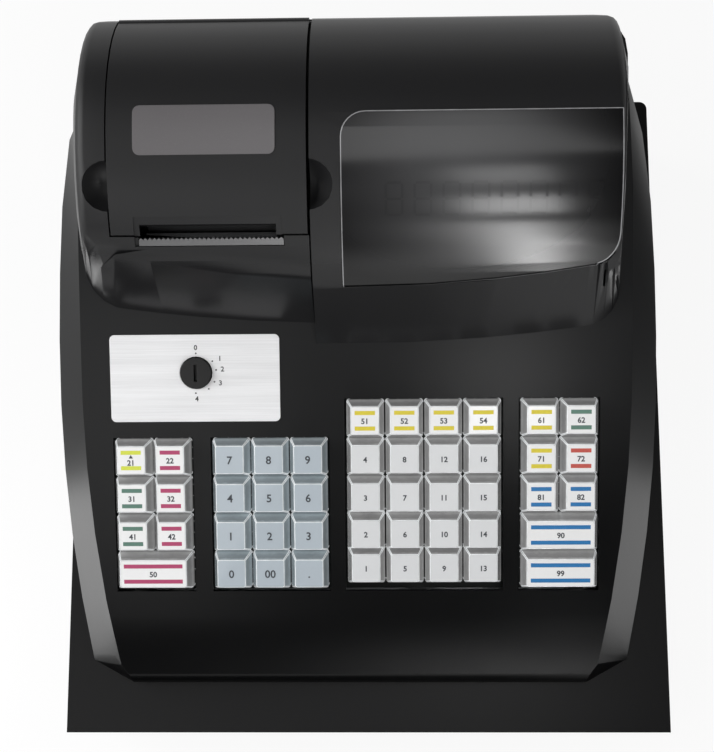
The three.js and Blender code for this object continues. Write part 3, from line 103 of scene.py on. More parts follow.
# Roundings of the pieces' edges
LEAST_EDGE = 0.15 * MM
PLATE_EDGE = 0.2 * MM
CLIP_EDGE = 0.25 * MM
LOCK_EDGE = 0.3 * MM
SHEET_EDGE = 0.4 * MM
TRAY_EDGE = 0.6 * MM
FOOT_EDGE = 1.2 * MM

# Keys: the pitch down the panel, the cap's form from its top down, and its label and bars
KEY_PITCH = 18.84 * MM
KEY_TAPER = 4 * MM
KEY_FLARE = 0.32 * MM
KEY_RISE = 9 * MM
KEY_SHOULDER = 1 * MM
KEY_SKIRT = 3 * MM
KEY_CORNER = 1.4 * MM
KEY_EDGE = 0.5 * MM
KEY_STEM = 6 * MM
KEY_STEM_LENGTH = 10 * MM
LABEL_RIM = 0.35 * MM
BAR_LIMITS_SHARES = (0.13, 0.285)
BAR_SIDE_SHARE = 0.12
PRINT_LIFT = 0.04 * MM

# Camera: the focal length in pixels on the picture's long side, which the sensor's width stands for
SENSOR_WIDTH = 36
FOCAL_PIXELS = 1400
LONG_SIDE_PIXELS = 752
PHOTO_LENS = FOCAL_PIXELS / LONG_SIDE_PIXELS * SENSOR_WIDTH
CAMERA_PLACE = Vector((15.55, -112.0, 826.67)) * MM
CAMERA_PITCH = -0.17242
CAMERA_YAW = 0.02715
CAMERA_ROLL = -0.00671


class Wire:
    """A node output that takes part in arithmetic, each sign adding a Math node."""

    def __init__(self, shader, socket):
        self.shader = shader
        self.socket = socket

    def _math(self, operation, first, second):
        return self.shader.add("ShaderNodeMath", {"operation": operation}, {0: first, 1: second})

    def __add__(self, other):
        return self._math("ADD", self, other)

    def __radd__(self, other):
        return self._math("ADD", other, self)

    def __sub__(self, other):
        return self._math("SUBTRACT", self, other)

    def __rsub__(self, other):
        return self._math("SUBTRACT", other, self)

    def __mul__(self, other):
        return self._math("MULTIPLY", self, other)

    def __rmul__(self, other):
        return self._math("MULTIPLY", other, self)

    def __truediv__(self, other):
        return self._math("DIVIDE", self, other)

    def __rtruediv__(self, other):
        return self._math("DIVIDE", other, self)


class Shader:
    """A material's node tree with one method that adds nodes to it."""

    def __init__(self, name, world=False):
        self.owner = bpy.data.worlds.new(name) if world else bpy.data.materials.new(name)
        self.owner.use_nodes = True
        self.tree = self.owner.node_tree
        self.tree.nodes.clear()
        self.output = self.tree.nodes.new("ShaderNodeOutputWorld" if world else "ShaderNodeOutputMaterial")

    def add(self, kind, settings=None, sockets=None, output=0):
        """Add a node: its settings first, then its sockets, each a number, a colour or a wire."""
        node = self.tree.nodes.new(kind)
        for key, value in (settings or {}).items():
            if key == "stops":
                self._set_stops(node.color_ramp, value)
            else:
                setattr(node, key, value)
        for key, value in (sockets or {}).items():
            target = node.inputs[key]
            if isinstance(value, Wire):
                self.tree.links.new(value.socket, target)
            else:
                target.default_value = value
        return Wire(self, node.outputs[output])

    @staticmethod
    def _set_stops(ramp, stops):
        while len(ramp.elements) < len(stops):
            ramp.elements.new(1)
        for element, (place, level) in zip(ramp.elements, stops):
            element.position = place
            element.color = (level, level, level, 1)

    def finish(self, shader):
        """Link the last shader to the surface and give the material or world back."""
        self.tree.links.new(shader.socket, self.output.inputs["Surface"])
        return self.owner

    def place(self, stretch=(1.0, 1.0, 1.0), middle=(0.0, 0.0, 0.0)):
        """Object coordinates from a middle, stretched along each axis."""
        where = self.add("ShaderNodeTexCoord", output="Object")
        return self.add(
            "ShaderNodeMapping", {"vector_type": "POINT"},
            {"Vector": where, "Location": tuple(-level for level in middle), "Scale": stretch},
        )

    def along(self, axis):
        """The object coordinate along one axis."""
        where = self.add("ShaderNodeTexCoord", output="Object")
        return self.add("ShaderNodeSeparateXYZ", None, {"Vector": where}, axis)

    def noise(self, scale, detail=2.0, roughness=0.5, where=None):
        """Smooth noise from 0 to 1 with a scale in waves per metre."""
        return self.add(
            "ShaderNodeTexNoise", None,
            {"Vector": where or self.place(), "Scale": scale, "Detail": detail, "Roughness": roughness},
        )

    def mix(self, amount, first, second):
        """A colour that goes from the first to the second with the amount."""
        return self.add(
            "ShaderNodeMix", {"data_type": "RGBA"}, {"Factor": amount, "A": first, "B": second}, "Result",
        )

    def ramp(self, amount, stops):
        """A number's new level after a curve of stops."""
        return self.add("ShaderNodeValToRGB", {"stops": stops}, {"Fac": amount})

    def bump(self, height, distance):
        """A bump normal from a height between 0 and 1 and its real depth."""
        return self.add(
            "ShaderNodeBump", None, {"Height": height, "Distance": distance, "Strength": 1.0}, "Normal",
        )

    def principled(self, **sockets):
        """The main shader, its sockets named with _ for a space."""
        named = {key.replace("_", " "): value for key, value in sockets.items()}
        return self.add("ShaderNodeBsdfPrincipled", None, named)

    def dusted(self, grain, tone, colour):
        """A tone with pale dust on the high spots of its grain."""
        return self.mix(self.ramp(grain, DUST_STOPS), tone, shade(colour, DUST_SHADE))


def shade(colour, factor):
    """A colour made lighter or darker, with its alpha kept at 1."""
    return tuple(min(channel * factor, 1) for channel in colour[:3]) + (1,)


def moulded_plastic(name, colour, roughness, grain, depth, gloss=0.5):
    """Moulded plastic: a fine spark-eroded grain, slow changes of tone and a little dust in the grain."""
    shader = Shader(name)
    slow = shader.noise(9, 3)
    fine = shader.noise(grain, 2, 0.6)
    tone = shader.mix(slow, shade(colour, 0.86), shade(colour, 1.14))
    rough = roughness - 0.05 + slow * 0.06 + fine * 0.05
    return shader.finish(shader.principled(
        Base_Color=shader.dusted(fine, tone, colour), Roughness=rough, Specular_IOR_Level=gloss,
        Normal=shader.bump(fine, depth),
    ))


def tower_black(name, colour, front_roughness, roof_roughness, grain, depth):
    """Grained black plastic, polished on the steep front below the crease and matt on the roof."""
    shader = Shader(name)
    share = (shader.along("Z") - SHEEN_TOP) / SHEEN_FADE
    slow = shader.noise(9, 3)
    fine = shader.noise(grain, 2, 0.6)
    level = shader.ramp(share + (slow - 0.5) * 0.2, ((0.0, 0), (1.0, 1)))
    tone = shader.mix(slow, shade(colour, 0.86), shade(colour, 1.14))
    rough = level * (roof_roughness - front_roughness) + front_roughness + slow * 0.04 + fine * 0.03
    return shader.finish(shader.principled(
        Base_Color=shader.dusted(fine, tone, colour), Roughness=rough, Specular_IOR_Level=0.35,
        Normal=shader.bump(fine, depth),
    ))


def case_black(name, rear, front, roughness, grain, depth):
    """Grained black plastic with painted shade: its colour darkens towards the front edge, standing in for
    the light's fall-off there.
    """
    shader = Shader(name)
    share = (shader.along("Y") - CASE_LOW.y) / (WINDOW_LOW.y - CASE_LOW.y)
    slow = shader.noise(9, 3)
    fine = shader.noise(grain, 2, 0.6)
    # Painted shade: the colour goes from the rear colour to the darker front colour towards the front edge
    level = shader.ramp(share + (slow - 0.5) * 0.15, ((0.2, 0), (0.5, 0.3), (0.95, 1)))
    tone = shader.mix(level, front, rear)
    rough = roughness - 0.05 + slow * 0.06 + fine * 0.05
    return shader.finish(shader.principled(
        Base_Color=shader.dusted(fine, tone, rear), Roughness=rough, Specular_IOR_Level=0.16,
        Normal=shader.bump(fine, depth),
    ))


def painted_steel(name, colour, roughness):
    """Powder paint on sheet steel: a soft orange peel and a slow change of tone."""
    shader = Shader(name)
    slow = shader.noise(7, 3)
    peel = shader.noise(520, 1, 0.4)
    grit = shader.noise(2600, 1)
    tone = shader.mix(slow, shade(colour, 0.85), shade(colour, 1.2))
    return shader.finish(shader.principled(
        Base_Color=tone, Roughness=roughness + peel * 0.06, Specular_IOR_Level=0.22,
        Normal=shader.bump(peel * 0.8 + grit * 0.2, SOFT_DEPTH),
    ))


def drawn_metal(name, colour, roughness, stretch=(1.0, 1.0, 1.0)):
    """Metal with fine lines, drawn out along the axis of the least stretch."""
    shader = Shader(name)
    lines = shader.noise(900, 3, 0.7, shader.place(stretch))
    cloud = shader.noise(25, 2)
    tone = shader.mix(lines, shade(colour, 0.82), shade(colour, 1.1))
    return shader.finish(shader.principled(
        Base_Color=tone, Metallic=1.0, Roughness=roughness - 0.06 + lines * 0.12 + cloud * 0.05,
        Normal=shader.bump(lines, LIGHT_DEPTH),
    ))


def zinc_sheet(name, colour):
    """Zinc coated sheet with its broad crystals."""
    shader = Shader(name)
    cells = shader.add(
        "ShaderNodeTexVoronoi", {"feature": "F1"}, {"Vector": shader.place(), "Scale": 140.0}, "Color",
    )
    crystal = shader.add("ShaderNodeRGBToBW", None, {"Color": cells})
    tone = shader.mix(crystal, shade(colour, 0.8), shade(colour, 1.12))
    return shader.finish(shader.principled(Base_Color=tone, Metallic=0.9, Roughness=0.36 + crystal * 0.14))


def black_rubber(name, colour):
    """Matt rubber with a coarse dusty bloom."""
    shader = Shader(name)
    bloom = shader.noise(160, 3, 0.6)
    fine = shader.noise(1800, 1)
    return shader.finish(shader.principled(
        Base_Color=shader.mix(bloom, shade(colour, 0.8), shade(colour, 1.5)), Roughness=0.82 + bloom * 0.1,
        Normal=shader.bump(fine, SOFT_DEPTH),
    ))


def clear_cap(name, colour, roughness):
    """The side of a clear key cap: streaks that run round it, with painted light: lighter bands at the skirt
    and top and a glow by emission stand in for the light that the clear plastic gathers.
    """
    shader = Shader(name)
    where = shader.add("ShaderNodeTexCoord", output="Object")
    rise = shader.add(
        "ShaderNodeVectorMath", {"operation": "DOT_PRODUCT"}, {0: where, 1: tuple(PANEL_UP)}, "Value",
    ) - LOCK_PLACE.dot(PANEL_UP)
    height = rise / KEY_RISE
    streaks = shader.noise(300, 3, 0.6)
    cloud = shader.noise(90, 2)
    # Painted highlight: the tone is lighter near the skirt and the top of the side and darker between
    level = shader.ramp(
        height + (streaks - 0.5) * 0.35, ((0.0, 0.55), (0.2, 0.8), (0.45, 0.45), (0.75, 0.3), (1.0, 0.75)),
    )
    amount = level * (0.7 + cloud * 0.6)
    tone = shader.mix(amount, shade(colour, 0.45), shade(colour, 1.5))
    # Painted glow: emission stands in for the light that passes through the clear plastic
    painted_glow = shader.mix(amount, shade(colour, 0.04), shade(colour, 0.42))
    return shader.finish(shader.principled(
        Base_Color=tone, Roughness=roughness + cloud * 0.1, Specular_IOR_Level=0.6, Coat_Weight=0.5,
        Coat_Roughness=0.06, Emission_Color=painted_glow, Emission_Strength=1.0,
        Normal=shader.bump(streaks, STREAK_DEPTH),
    ))


def clear_edge(name, colour):
    """A painted highlight: the edge of a clear piece glows by emission, standing in for the light that it
    gathers.
    """
    shader = Shader(name)
    cloud = shader.noise(220, 2)
    return shader.finish(shader.principled(
        Base_Color=shader.mix(cloud, shade(colour, 0.7), shade(colour, 1.2)), Roughness=0.12,
        Specular_IOR_Level=0.7, Emission_Color=shader.mix(cloud, shade(colour, 0.2), shade(colour, 0.6)),
        Emission_Strength=1.0,
    ))


def key_paper(name, colour):
    """A printed label under the clear top of a key."""
    shader = Shader(name)
    fibre = shader.noise(700, 2)
    slow = shader.noise(45, 2)
    tone = shader.mix(slow * 0.7 + fibre * 0.3, shade(colour, 0.93), shade(colour, 1.04))
    return shader.finish(shader.principled(Base_Color=tone, Roughness=0.35 + fibre * 0.08, Coat_Weight=0.25))


def key_print(name, colour):
    """Printing ink with a little mottle."""
    shader = Shader(name)
    mottle = shader.noise(900, 2)
    tone = shader.mix(mottle, shade(colour, 0.88), shade(colour, 1.12))
    return shader.finish(shader.principled(Base_Color=tone, Roughness=0.4 + mottle * 0.1))


def brushed_plate(name, colour):
    """Bright aluminium brushed along its length under a clear lacquer."""
    shader = Shader(name)
    lines = shader.noise(420, 4, 0.75, shader.place((0.05, 3.0, 3.0)))
    broad = shader.noise(60, 2, 0.6, shader.place((0.12, 2.0, 2.0)))
    slow = shader.noise(16, 1)
    level = lines * 0.45 + broad * 0.35 + slow * 0.2
    tone = shader.mix(shader.ramp(level, ((0.3, 0), (0.7, 1))), shade(colour, 0.8), shade(colour, 1.08))
    return shader.finish(shader.principled(
        Base_Color=tone, Metallic=0.12, Roughness=0.38 + lines * 0.15, Normal=shader.bump(lines, LIGHT_DEPTH),
    ))


def dark_glass(name, colour, roughness):
    """Black glass with slow changes of tone."""
    shader = Shader(name)
    haze = shader.noise(14, 3)
    fine = shader.noise(400, 1)
    return shader.finish(shader.principled(
        Base_Color=shader.mix(haze, shade(colour, 0.8), shade(colour, 1.25)),
        Roughness=roughness + haze * 0.03 + fine * 0.01, Specular_IOR_Level=0.55,
    ))


def smoked_window(name, colour, cloud, roughness):
    """Smoked acrylic with a painted highlight: a grey glow over its middle where a lamp's soft reflection
    falls, deep black at its ends and lower edge.
    """
    shader = Shader(name)
    centred = shader.place(middle=PAINTED_GLOW_PLACE)
    spread = shader.add("ShaderNodeVectorMath", {"operation": "MULTIPLY"}, {0: centred, 1: PAINTED_GLOW_FADE})
    reach = shader.add("ShaderNodeVectorMath", {"operation": "LENGTH"}, {0: spread}, "Value")
    soft = shader.noise(14, 3)
    fine = shader.noise(400, 1)
    # Painted highlight: the colour goes from black to the lighter cloud colour towards the patch's middle
    level = shader.ramp(reach + (soft - 0.5) * 0.1, ((0, 1), (0.3, 0.82), (0.6, 0.4), (0.85, 0.12), (1, 0)))
    rough = level * 0.07 + roughness + soft * 0.02 + fine * 0.01
    return shader.finish(shader.principled(
        Base_Color=shader.mix(level, colour, cloud), Roughness=rough, Specular_IOR_Level=0.42,
    ))


def paper_stack(name, colour):
    """Wound paper: rings on the ends of the roll."""
    shader = Shader(name)
    rings = shader.add(
        "ShaderNodeTexWave", {"wave_type": "RINGS", "rings_direction": "X"},
        {"Vector": shader.place(middle=(ROLL_LOW + ROLL_HIGH) / 2), "Scale": 420.0, "Distortion": 0.6,
         "Detail": 1.0},
    )
    fibre = shader.noise(800, 2)
    tone = shader.mix(rings * 0.6 + fibre * 0.4, shade(colour, 0.86), colour)
    return shader.finish(shader.principled(
        Base_Color=tone, Roughness=0.78 + fibre * 0.08, Normal=shader.bump(rings, PAPER_DEPTH),
    ))


def circuit_board(name, colour):
    """Solder mask over copper lines."""
    shader = Shader(name)
    tracks = shader.add(
        "ShaderNodeTexBrick", {"offset": 0.5},
        {"Vector": shader.place(), "Scale": 220.0, "Mortar Size": 0.06, "Color1": (0, 0, 0, 1),
         "Color2": (0.3, 0.3, 0.3, 1), "Mortar": (1, 1, 1, 1)},
    )
    cloud = shader.noise(70, 2)
    tone = shader.mix(tracks * 0.5 + cloud * 0.3, shade(colour, 0.8), shade(colour, 1.9))
    return shader.finish(shader.principled(Base_Color=tone, Roughness=0.42 + cloud * 0.1))


class RegisterFinish(bpy.types.PropertyGroup):
    """Colours and sizes of the register's finish."""

    case_colour: bpy.props.FloatVectorProperty(
        name="Case colour", description="Colour of the keyboard case's plastic", subtype="COLOR", size=4,
        default=(0.013, 0.0132, 0.0136, 1), min=0, max=1,
    )
    # The front colour is painted shade: the case's colour darkens to it towards the front edge
    front_shade_colour: bpy.props.FloatVectorProperty(
        name="Front colour", description="Colour of the case's plastic at its front edge", subtype="COLOR",
        size=4, default=(0.0008, 0.0009, 0.0011, 1), min=0, max=1,
    )
    tower_colour: bpy.props.FloatVectorProperty(
        name="Tower colour", description="Colour of the tower's plastic", subtype="COLOR", size=4,
        default=(0.0095, 0.0095, 0.0102, 1), min=0, max=1,
    )
    paint_colour: bpy.props.FloatVectorProperty(
        name="Paint colour", description="Colour of the cabinet's powder paint", subtype="COLOR", size=4,
        default=(0.003, 0.003, 0.0033, 1), min=0, max=1,
    )
    lip_radius: bpy.props.FloatProperty(
        name="Lip radius", description="Width of the roll along the case's front edge", subtype="DISTANCE",
        unit="LENGTH", default=9 * MM, min=1 * MM, max=14 * MM,
    )
    edge_radius: bpy.props.FloatProperty(
        name="Edge radius", description="Rounding of the plastic shells' edges", subtype="DISTANCE",
        unit="LENGTH", default=0.7 * MM, min=0.1 * MM, max=2 * MM,
    )
    sheet_radius: bpy.props.FloatProperty(
        name="Sheet radius", description="Rounding of the painted sheet's folds", subtype="DISTANCE",
        unit="LENGTH", default=0.6 * MM, min=0.1 * MM, max=2 * MM,
    )


class StageSettings(bpy.types.PropertyGroup):
    """Floor and lamps."""

    floor_size: bpy.props.FloatProperty(
        name="Floor size", description="Side of the square floor", subtype="DISTANCE", unit="LENGTH",
        default=40.0, min=1.0,
    )
    side_power: bpy.props.FloatProperty(
        name="Side power", description="Power of the left soft box, of which the others take a share",
        subtype="POWER", unit="POWER", default=10.4, min=0.0,
    )
    glow_power: bpy.props.FloatProperty(
        name="Glow power", description="Power that the lamps shown by the display window share",
        subtype="POWER", unit="POWER", default=1.6, min=0.0,
    )
    corner_power: bpy.props.FloatProperty(
        name="Corner power", description="Power of the lamp that the case's front right corner shows",
        subtype="POWER", unit="POWER", default=0.025, min=0.0,
    )
    card_power: bpy.props.FloatProperty(
        name="Card power", description="Power of the low cards that light the case's side bands",
        subtype="POWER", unit="POWER", default=0.195, min=0.0,
    )


def finish_settings():
    """The scene's finish settings."""
    return bpy.context.scene.register_finish


def stage_settings():
    """The scene's stage settings."""
    return bpy.context.scene.register_stage


MATERIALS = {}


def material(name, maker, *values):
    """A material made once and then shared."""
    if name not in MATERIALS:
        MATERIALS[name] = maker(name, *values)
    return MATERIALS[name]


def case_plastic():
    """The keyboard case's plastic."""
    colours = finish_settings().case_colour[:], finish_settings().front_shade_colour[:]
    return material("case_plastic", case_black, *colours, 0.3, FINE_GRAIN, LIGHT_DEPTH)


def tower_plastic():
    """The tower's plastic."""
    colour = finish_settings().tower_colour[:]
    return material("tower_plastic", tower_black, colour, 0.2, 0.4, FINE_GRAIN, TOWER_DEPTH)


def cabinet_paint():
    """The cabinet's paint."""
    return material("cabinet_paint", painted_steel, finish_settings().paint_colour[:], 0.38)


def rubber():
    """The rubber of the feet and the platen."""
    return material("black_rubber", black_rubber, (0.02, 0.02, 0.021, 1))


def deselect():
    """Leave edit mode and select nothing."""
    if bpy.context.object and bpy.context.object.mode != "OBJECT":
        bpy.ops.object.mode_set(mode="OBJECT")
    bpy.ops.object.select_all(action="DESELECT")


def pick(piece):
    """Select one piece alone and make it the active one."""
    deselect()
    piece.select_set(True)
    bpy.context.view_layer.objects.active = piece


def edit(piece, kind="FACE"):
    """Start editing a piece with nothing selected."""
    pick(piece)
    bpy.ops.object.mode_set(mode="EDIT")
    bpy.ops.mesh.select_mode(type=kind)
    bpy.ops.mesh.select_all(action="DESELECT")
    return bmesh.from_edit_mesh(piece.data)


def leave():
    """Go back to object mode."""
    bpy.ops.object.mode_set(mode="OBJECT")


def choose(piece, test, kind="FACE"):
    """Select the faces or edges of a piece that pass a test, and stop when there are none."""
    form = bmesh.from_edit_mesh(piece.data)
    bpy.ops.mesh.select_mode(type=kind)
    bpy.ops.mesh.select_all(action="DESELECT")
    chosen = [part for part in (form.faces if kind == "FACE" else form.edges) if test(part)]
    if not chosen:
        raise RuntimeError(f"nothing of {piece.name} passes the test")
    for part in chosen:
        part.select_set(True)
    form.select_flush_mode()
    bmesh.update_edit_mesh(piece.data)


def apply_place(piece):
    """Move a piece's place, turn and scale into its mesh."""
    pick(piece)
    bpy.ops.object.transform_apply(location=True, rotation=True, scale=True)


def add_bevel(piece, width, segments=2, angle=30.0, index=-1, spare=None):
    """Round a piece's edges with an applied modifier; edges that pass the spare test stay, shaded smooth."""
    if spare:
        edit(piece, "EDGE")
        choose(
            piece, lambda edge: len(edge.link_faces) == 2 and not spare(edge)
            and edge.calc_face_angle() > math.radians(angle), "EDGE",
        )
        bpy.ops.transform.edge_bevelweight(value=1)
        leave()
    pick(piece)
    bevel = piece.modifiers.new("Bevel", "BEVEL")
    bevel.width = width
    bevel.segments = segments
    bevel.limit_method = "WEIGHT" if spare else "ANGLE"
    bevel.angle_limit = math.radians(angle)
    bevel.material = index
    bevel.use_clamp_overlap = True
    bevel.miter_outer = "MITER_SHARP"
    bpy.ops.object.modifier_apply(modifier=bevel.name)
    bpy.ops.object.shade_smooth_by_angle(angle=math.radians(angle), keep_sharp_edges=False)
    if spare:
        edit(piece, "EDGE")
        choose(piece, spare, "EDGE")
        bpy.ops.mesh.mark_sharp(clear=True)
        leave()
    even = piece.modifiers.new("Even shading", "WEIGHTED_NORMAL")
    even.mode = "FACE_AREA"
    even.weight = 50 if spare else 100
    even.keep_sharp = True
    bpy.ops.object.modifier_apply(modifier=even.name)


def copy_node(node, name):
    """A frame node's shape as a new piece, with its triangles merged into whole faces."""
    source = frame["nodes"][node]
    mesh = source.data.copy()
    piece = bpy.data.objects.new(name, mesh)
    bpy.context.scene.collection.objects.link(piece)
    mesh.materials.clear()
    edit(piece, "VERT")
    bpy.ops.mesh.select_all(action="SELECT")
    bpy.ops.mesh.remove_doubles(threshold=TOUCH)
    bpy.ops.mesh.dissolve_limited(angle_limit=math.radians(0.5))
    leave()
    if mesh.has_custom_normals:
        bpy.ops.mesh.customdata_custom_splitnormals_clear()
    return piece


def wear(piece, *finishes):
    """Give a piece its materials in order and keep which face has which."""
    slots = piece.data.materials
    for number, finish in enumerate(finishes):
        if number < len(slots):
            slots[number] = finish
        else:
            slots.append(finish)


def settle(piece, body, slot, *nodes):
    """Put a finished piece on its body and hide its frame node, if it has one; the slot is not used."""
    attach(piece, body)
    if nodes:
        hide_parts(*nodes)
    return piece


def dress(node, name, body, slot, finish, width, segments=2, angle=30.0):
    """A frame node's copy with its edges rounded and its material on, settled in the node's place."""
    piece = copy_node(node, name)
    add_bevel(piece, width, segments, angle)
    wear(piece, finish)
    return settle(piece, body, slot, node)


def join(pieces, name):
    """Join pieces into the first one."""
    deselect()
    for piece in pieces:
        piece.select_set(True)
    bpy.context.view_layer.objects.active = pieces[0]
    if len(pieces) > 1:
        bpy.ops.object.join()
    pieces[0].name = name
    pieces[0].data.name = name
    return pieces[0]


def copy_of(piece, name):
    """A copy of a piece with its own mesh."""
    twin = piece.copy()
    twin.data = piece.data.copy()
    twin.name = name
    bpy.context.scene.collection.objects.link(twin)
    return twin


def discard(piece):
    """Delete a piece that was only a pattern for others."""
    bpy.data.objects.remove(piece)


def flat_text(words, size, weight=0.0):
    """Words as a flat mesh, centred on the origin."""
    deselect()
    bpy.ops.object.text_add()
    text = bpy.context.object
    text.data.body = words
    text.data.size = size
    text.data.offset = weight
    text.data.align_x = "CENTER"
    text.data.align_y = "CENTER"
    text.data.resolution_u = 3
    bpy.ops.object.convert(target="MESH")
    return bpy.context.object


def cap_tops(node):
    """The centre, width and length of each key top of a frame node, in the panel's own frame."""
    into = PANEL.inverted()
    places = [into @ vertex.co for vertex in frame["nodes"][node].data.vertices]
    height = max(place.z for place in places)
    tops = [place for place in places if height - place.z < TOUCH]
    lowest = min(place.y for place in tops)
    rows = {}
    for place in tops:
        rows.setdefault(int((place.y - lowest) / KEY_PITCH), []).append(place)
    found = []
    for row in sorted(rows, reverse=True):
        xs = [place.x for place in rows[row]]
        ys = [place.y for place in rows[row]]
        middle_x, middle_y = (min(xs) + max(xs)) / 2, (min(ys) + max(ys)) / 2
        found.append((middle_x, middle_y, max(xs) - min(xs), max(ys) - min(ys)))
    return found


def model_cap(name, width, length, bars):
    """A clear cap over its label: a skirt, four leaning sides, a rimmed top and the stem below."""
    deselect()
    base_width = width + KEY_TAPER + 2 * KEY_FLARE
    base_length = length + KEY_TAPER + 2 * KEY_FLARE
    bpy.ops.mesh.primitive_cube_add(
        size=1, location=(0, 0, (KEY_SHOULDER - KEY_SKIRT) / 2),
        scale=(base_width, base_length, KEY_SHOULDER + KEY_SKIRT),
    )
    cap = bpy.context.object
    cap.name = name
    wear(cap, *key_finishes("white", "yellow"))
    apply_place(cap)
    edit(cap, "EDGE")
    choose(cap, lambda edge: abs(edge.verts[0].co.z - edge.verts[1].co.z) > TOUCH, "EDGE")
    bpy.ops.mesh.bevel(offset=KEY_CORNER, segments=3, affect="EDGES")
    choose(cap, lambda face: face.normal.z > 0.9)
    bpy.ops.mesh.extrude_region_move(TRANSFORM_OT_translate={"value": (0, 0, KEY_RISE - KEY_SHOULDER)})
    bpy.ops.transform.resize(
        value=(width / base_width, length / base_length, 1), center_override=(0, 0, KEY_RISE),
    )
    bpy.ops.mesh.inset(thickness=LABEL_RIM)
    for face in bmesh.from_edit_mesh(cap.data).faces:
        face.material_index = KEY_LABEL if face.select else KEY_SIDE
    if bars:
        cut_bars(cap, width, length)
    choose(cap, lambda face: face.normal.z < -0.9)
    bpy.ops.mesh.inset(thickness=(base_length - KEY_STEM) / 2)
    bpy.ops.mesh.extrude_region_move(TRANSFORM_OT_translate={"value": (0, 0, -KEY_STEM_LENGTH)})
    leave()
    add_bevel(cap, KEY_EDGE, 3, 25, KEY_RIM)
    return cap


def cut_bars(cap, width, length):
    """Divide a label where its two colour bars begin and end, and mark them."""
    label_width = width - 2 * LABEL_RIM
    label_length = length - 2 * LABEL_RIM
    side = label_width / 2 - BAR_SIDE_SHARE * label_length
    levels = [label_length * (0.5 - share) for share in BAR_LIMITS_SHARES]
    cuts = [((x, 0, KEY_RISE), (1, 0, 0)) for x in (-side, side)]
    cuts += [((0, sign * level, KEY_RISE), (0, 1, 0)) for sign in (-1, 1) for level in levels]
    for place, normal in cuts:
        choose(cap, lambda face: face.material_index == KEY_LABEL)
        bpy.ops.mesh.bisect(plane_co=place, plane_no=normal)
    form = bmesh.from_edit_mesh(cap.data)
    for face in form.faces:
        middle = face.calc_center_median()
        inside = abs(middle.x) < side and levels[1] < abs(middle.y) < levels[0]
        if face.material_index == KEY_LABEL and inside:
            face.material_index = KEY_BAR
    bmesh.update_edit_mesh(cap.data)


def feed_arrow(size):
    """A small solid triangle that points up the panel."""
    deselect()
    bpy.ops.mesh.primitive_circle_add(vertices=3, radius=size, fill_type="NGON")
    return bpy.context.object


# A key's materials by number
KEY_SIDE, KEY_RIM, KEY_LABEL, KEY_BAR, KEY_PRINT = range(5)

# Colours of the labels, of the caps' sides and of the bars
LABEL_COLOURS = {"white": (0.9, 0.9, 0.9, 1), "cool": (0.74, 0.75, 0.76, 1), "grey": (0.46, 0.52, 0.57, 1)}
# The side colours also set how strongly the caps' sides glow by emission, a painted light
CLEAR_SIDE = (0.32, 0.32, 0.32, 1)
GREY_SIDE = (0.3, 0.34, 0.36, 1)
BAR_COLOURS = {
    "yellow": (0.72, 0.6, 0.035, 1), "lime": (0.7, 0.76, 0.07, 1), "crimson": (0.46, 0.055, 0.15, 1),
    "green": (0.10, 0.21, 0.16, 1), "red": (0.55, 0.085, 0.06, 1), "blue": (0.012, 0.17, 0.43, 1),
}


def key_finishes(label, bar):
    """The five materials of a key: side, edge, label, bars and print."""
    return (
        material("clear_side_" + label, clear_cap, GREY_SIDE if label == "grey" else CLEAR_SIDE, 0.12),
        material("clear_edge", clear_edge, (0.7, 0.72, 0.73, 1)),
        material("label_" + label, key_paper, LABEL_COLOURS[label]),
        material("bar_" + bar, key_print, BAR_COLOURS[bar]),
        material("key_ink", key_print, (0.045, 0.05, 0.06, 1)),
    )


# For each key's node its label's colour, and row by row the bars' colour, if it has bars, and the print
KEY_PRINTS = {
    name: ("white", [(bar, words)]) for name, bar, words in (
        ("left_key_2_1", "lime", "^21"), ("left_key_2_2", "crimson", "22"),
        ("left_key_3_1", "green", "31"), ("left_key_3_2", "crimson", "32"),
        ("left_key_4_1", "green", "41"), ("left_key_4_2", "crimson", "42"),
        ("left_key_wide_5", "crimson", "50"), ("right_key_1_1", "yellow", "61"),
        ("right_key_1_2", "green", "62"), ("right_key_2_1", "yellow", "71"),
        ("right_key_2_2", "red", "72"), ("right_key_3_1", "blue", "81"),
        ("right_key_3_2", "blue", "82"), ("right_key_wide_4", "blue", "90"),
        ("right_key_wide_5", "blue", "99"),
    )
}
for row, digits in enumerate(("789", "456", "123", ("0", "00", "."))):
    for column, digit in enumerate(digits):
        KEY_PRINTS[f"number_key_{row + 2}_{column + 1}"] = ("grey", [(None, digit)])
for column in range(4):
    numbers = [str(4 * column + step) for step in (4, 3, 2, 1)]
    KEY_PRINTS[f"department_keys_{column + 1}"] = (
        "cool", [("yellow", str(51 + column))] + [(None, number) for number in numbers],
    )

# The prints' heights, their strokes' thickening and their drop on the cap; the arrow is in shares of a height
SMALL_PRINT = 3.7 * MM
NUMBER_PRINT = 5.4 * MM
PRINT_WEIGHT = 0.11 * MM
PRINT_DROP = -0.4 * MM
ARROW_SHARE = 0.32
ARROW_RISE_SHARE = 0.42
ARROW_SPACE_SHARE = 0.26


def print_on(cap, words, size, drop):
    """Join words or an arrow to a cap, just above its label."""
    parts = []
    if words.startswith("^"):
        arrow = feed_arrow(size * ARROW_SHARE)
        arrow.location = (0, size * ARROW_RISE_SHARE, KEY_RISE + PRINT_LIFT)
        parts.append(arrow)
        words = words[1:]
        drop -= size * ARROW_SPACE_SHARE
    text = flat_text(words, size, PRINT_WEIGHT)
    text.location = (0, drop, KEY_RISE + PRINT_LIFT)
    parts.append(text)
    for part in parts:
        apply_place(part)
        wear(part, *cap.data.materials)
        for polygon in part.data.polygons:
            polygon.material_index = KEY_PRINT
    return join([cap, *parts], cap.name)


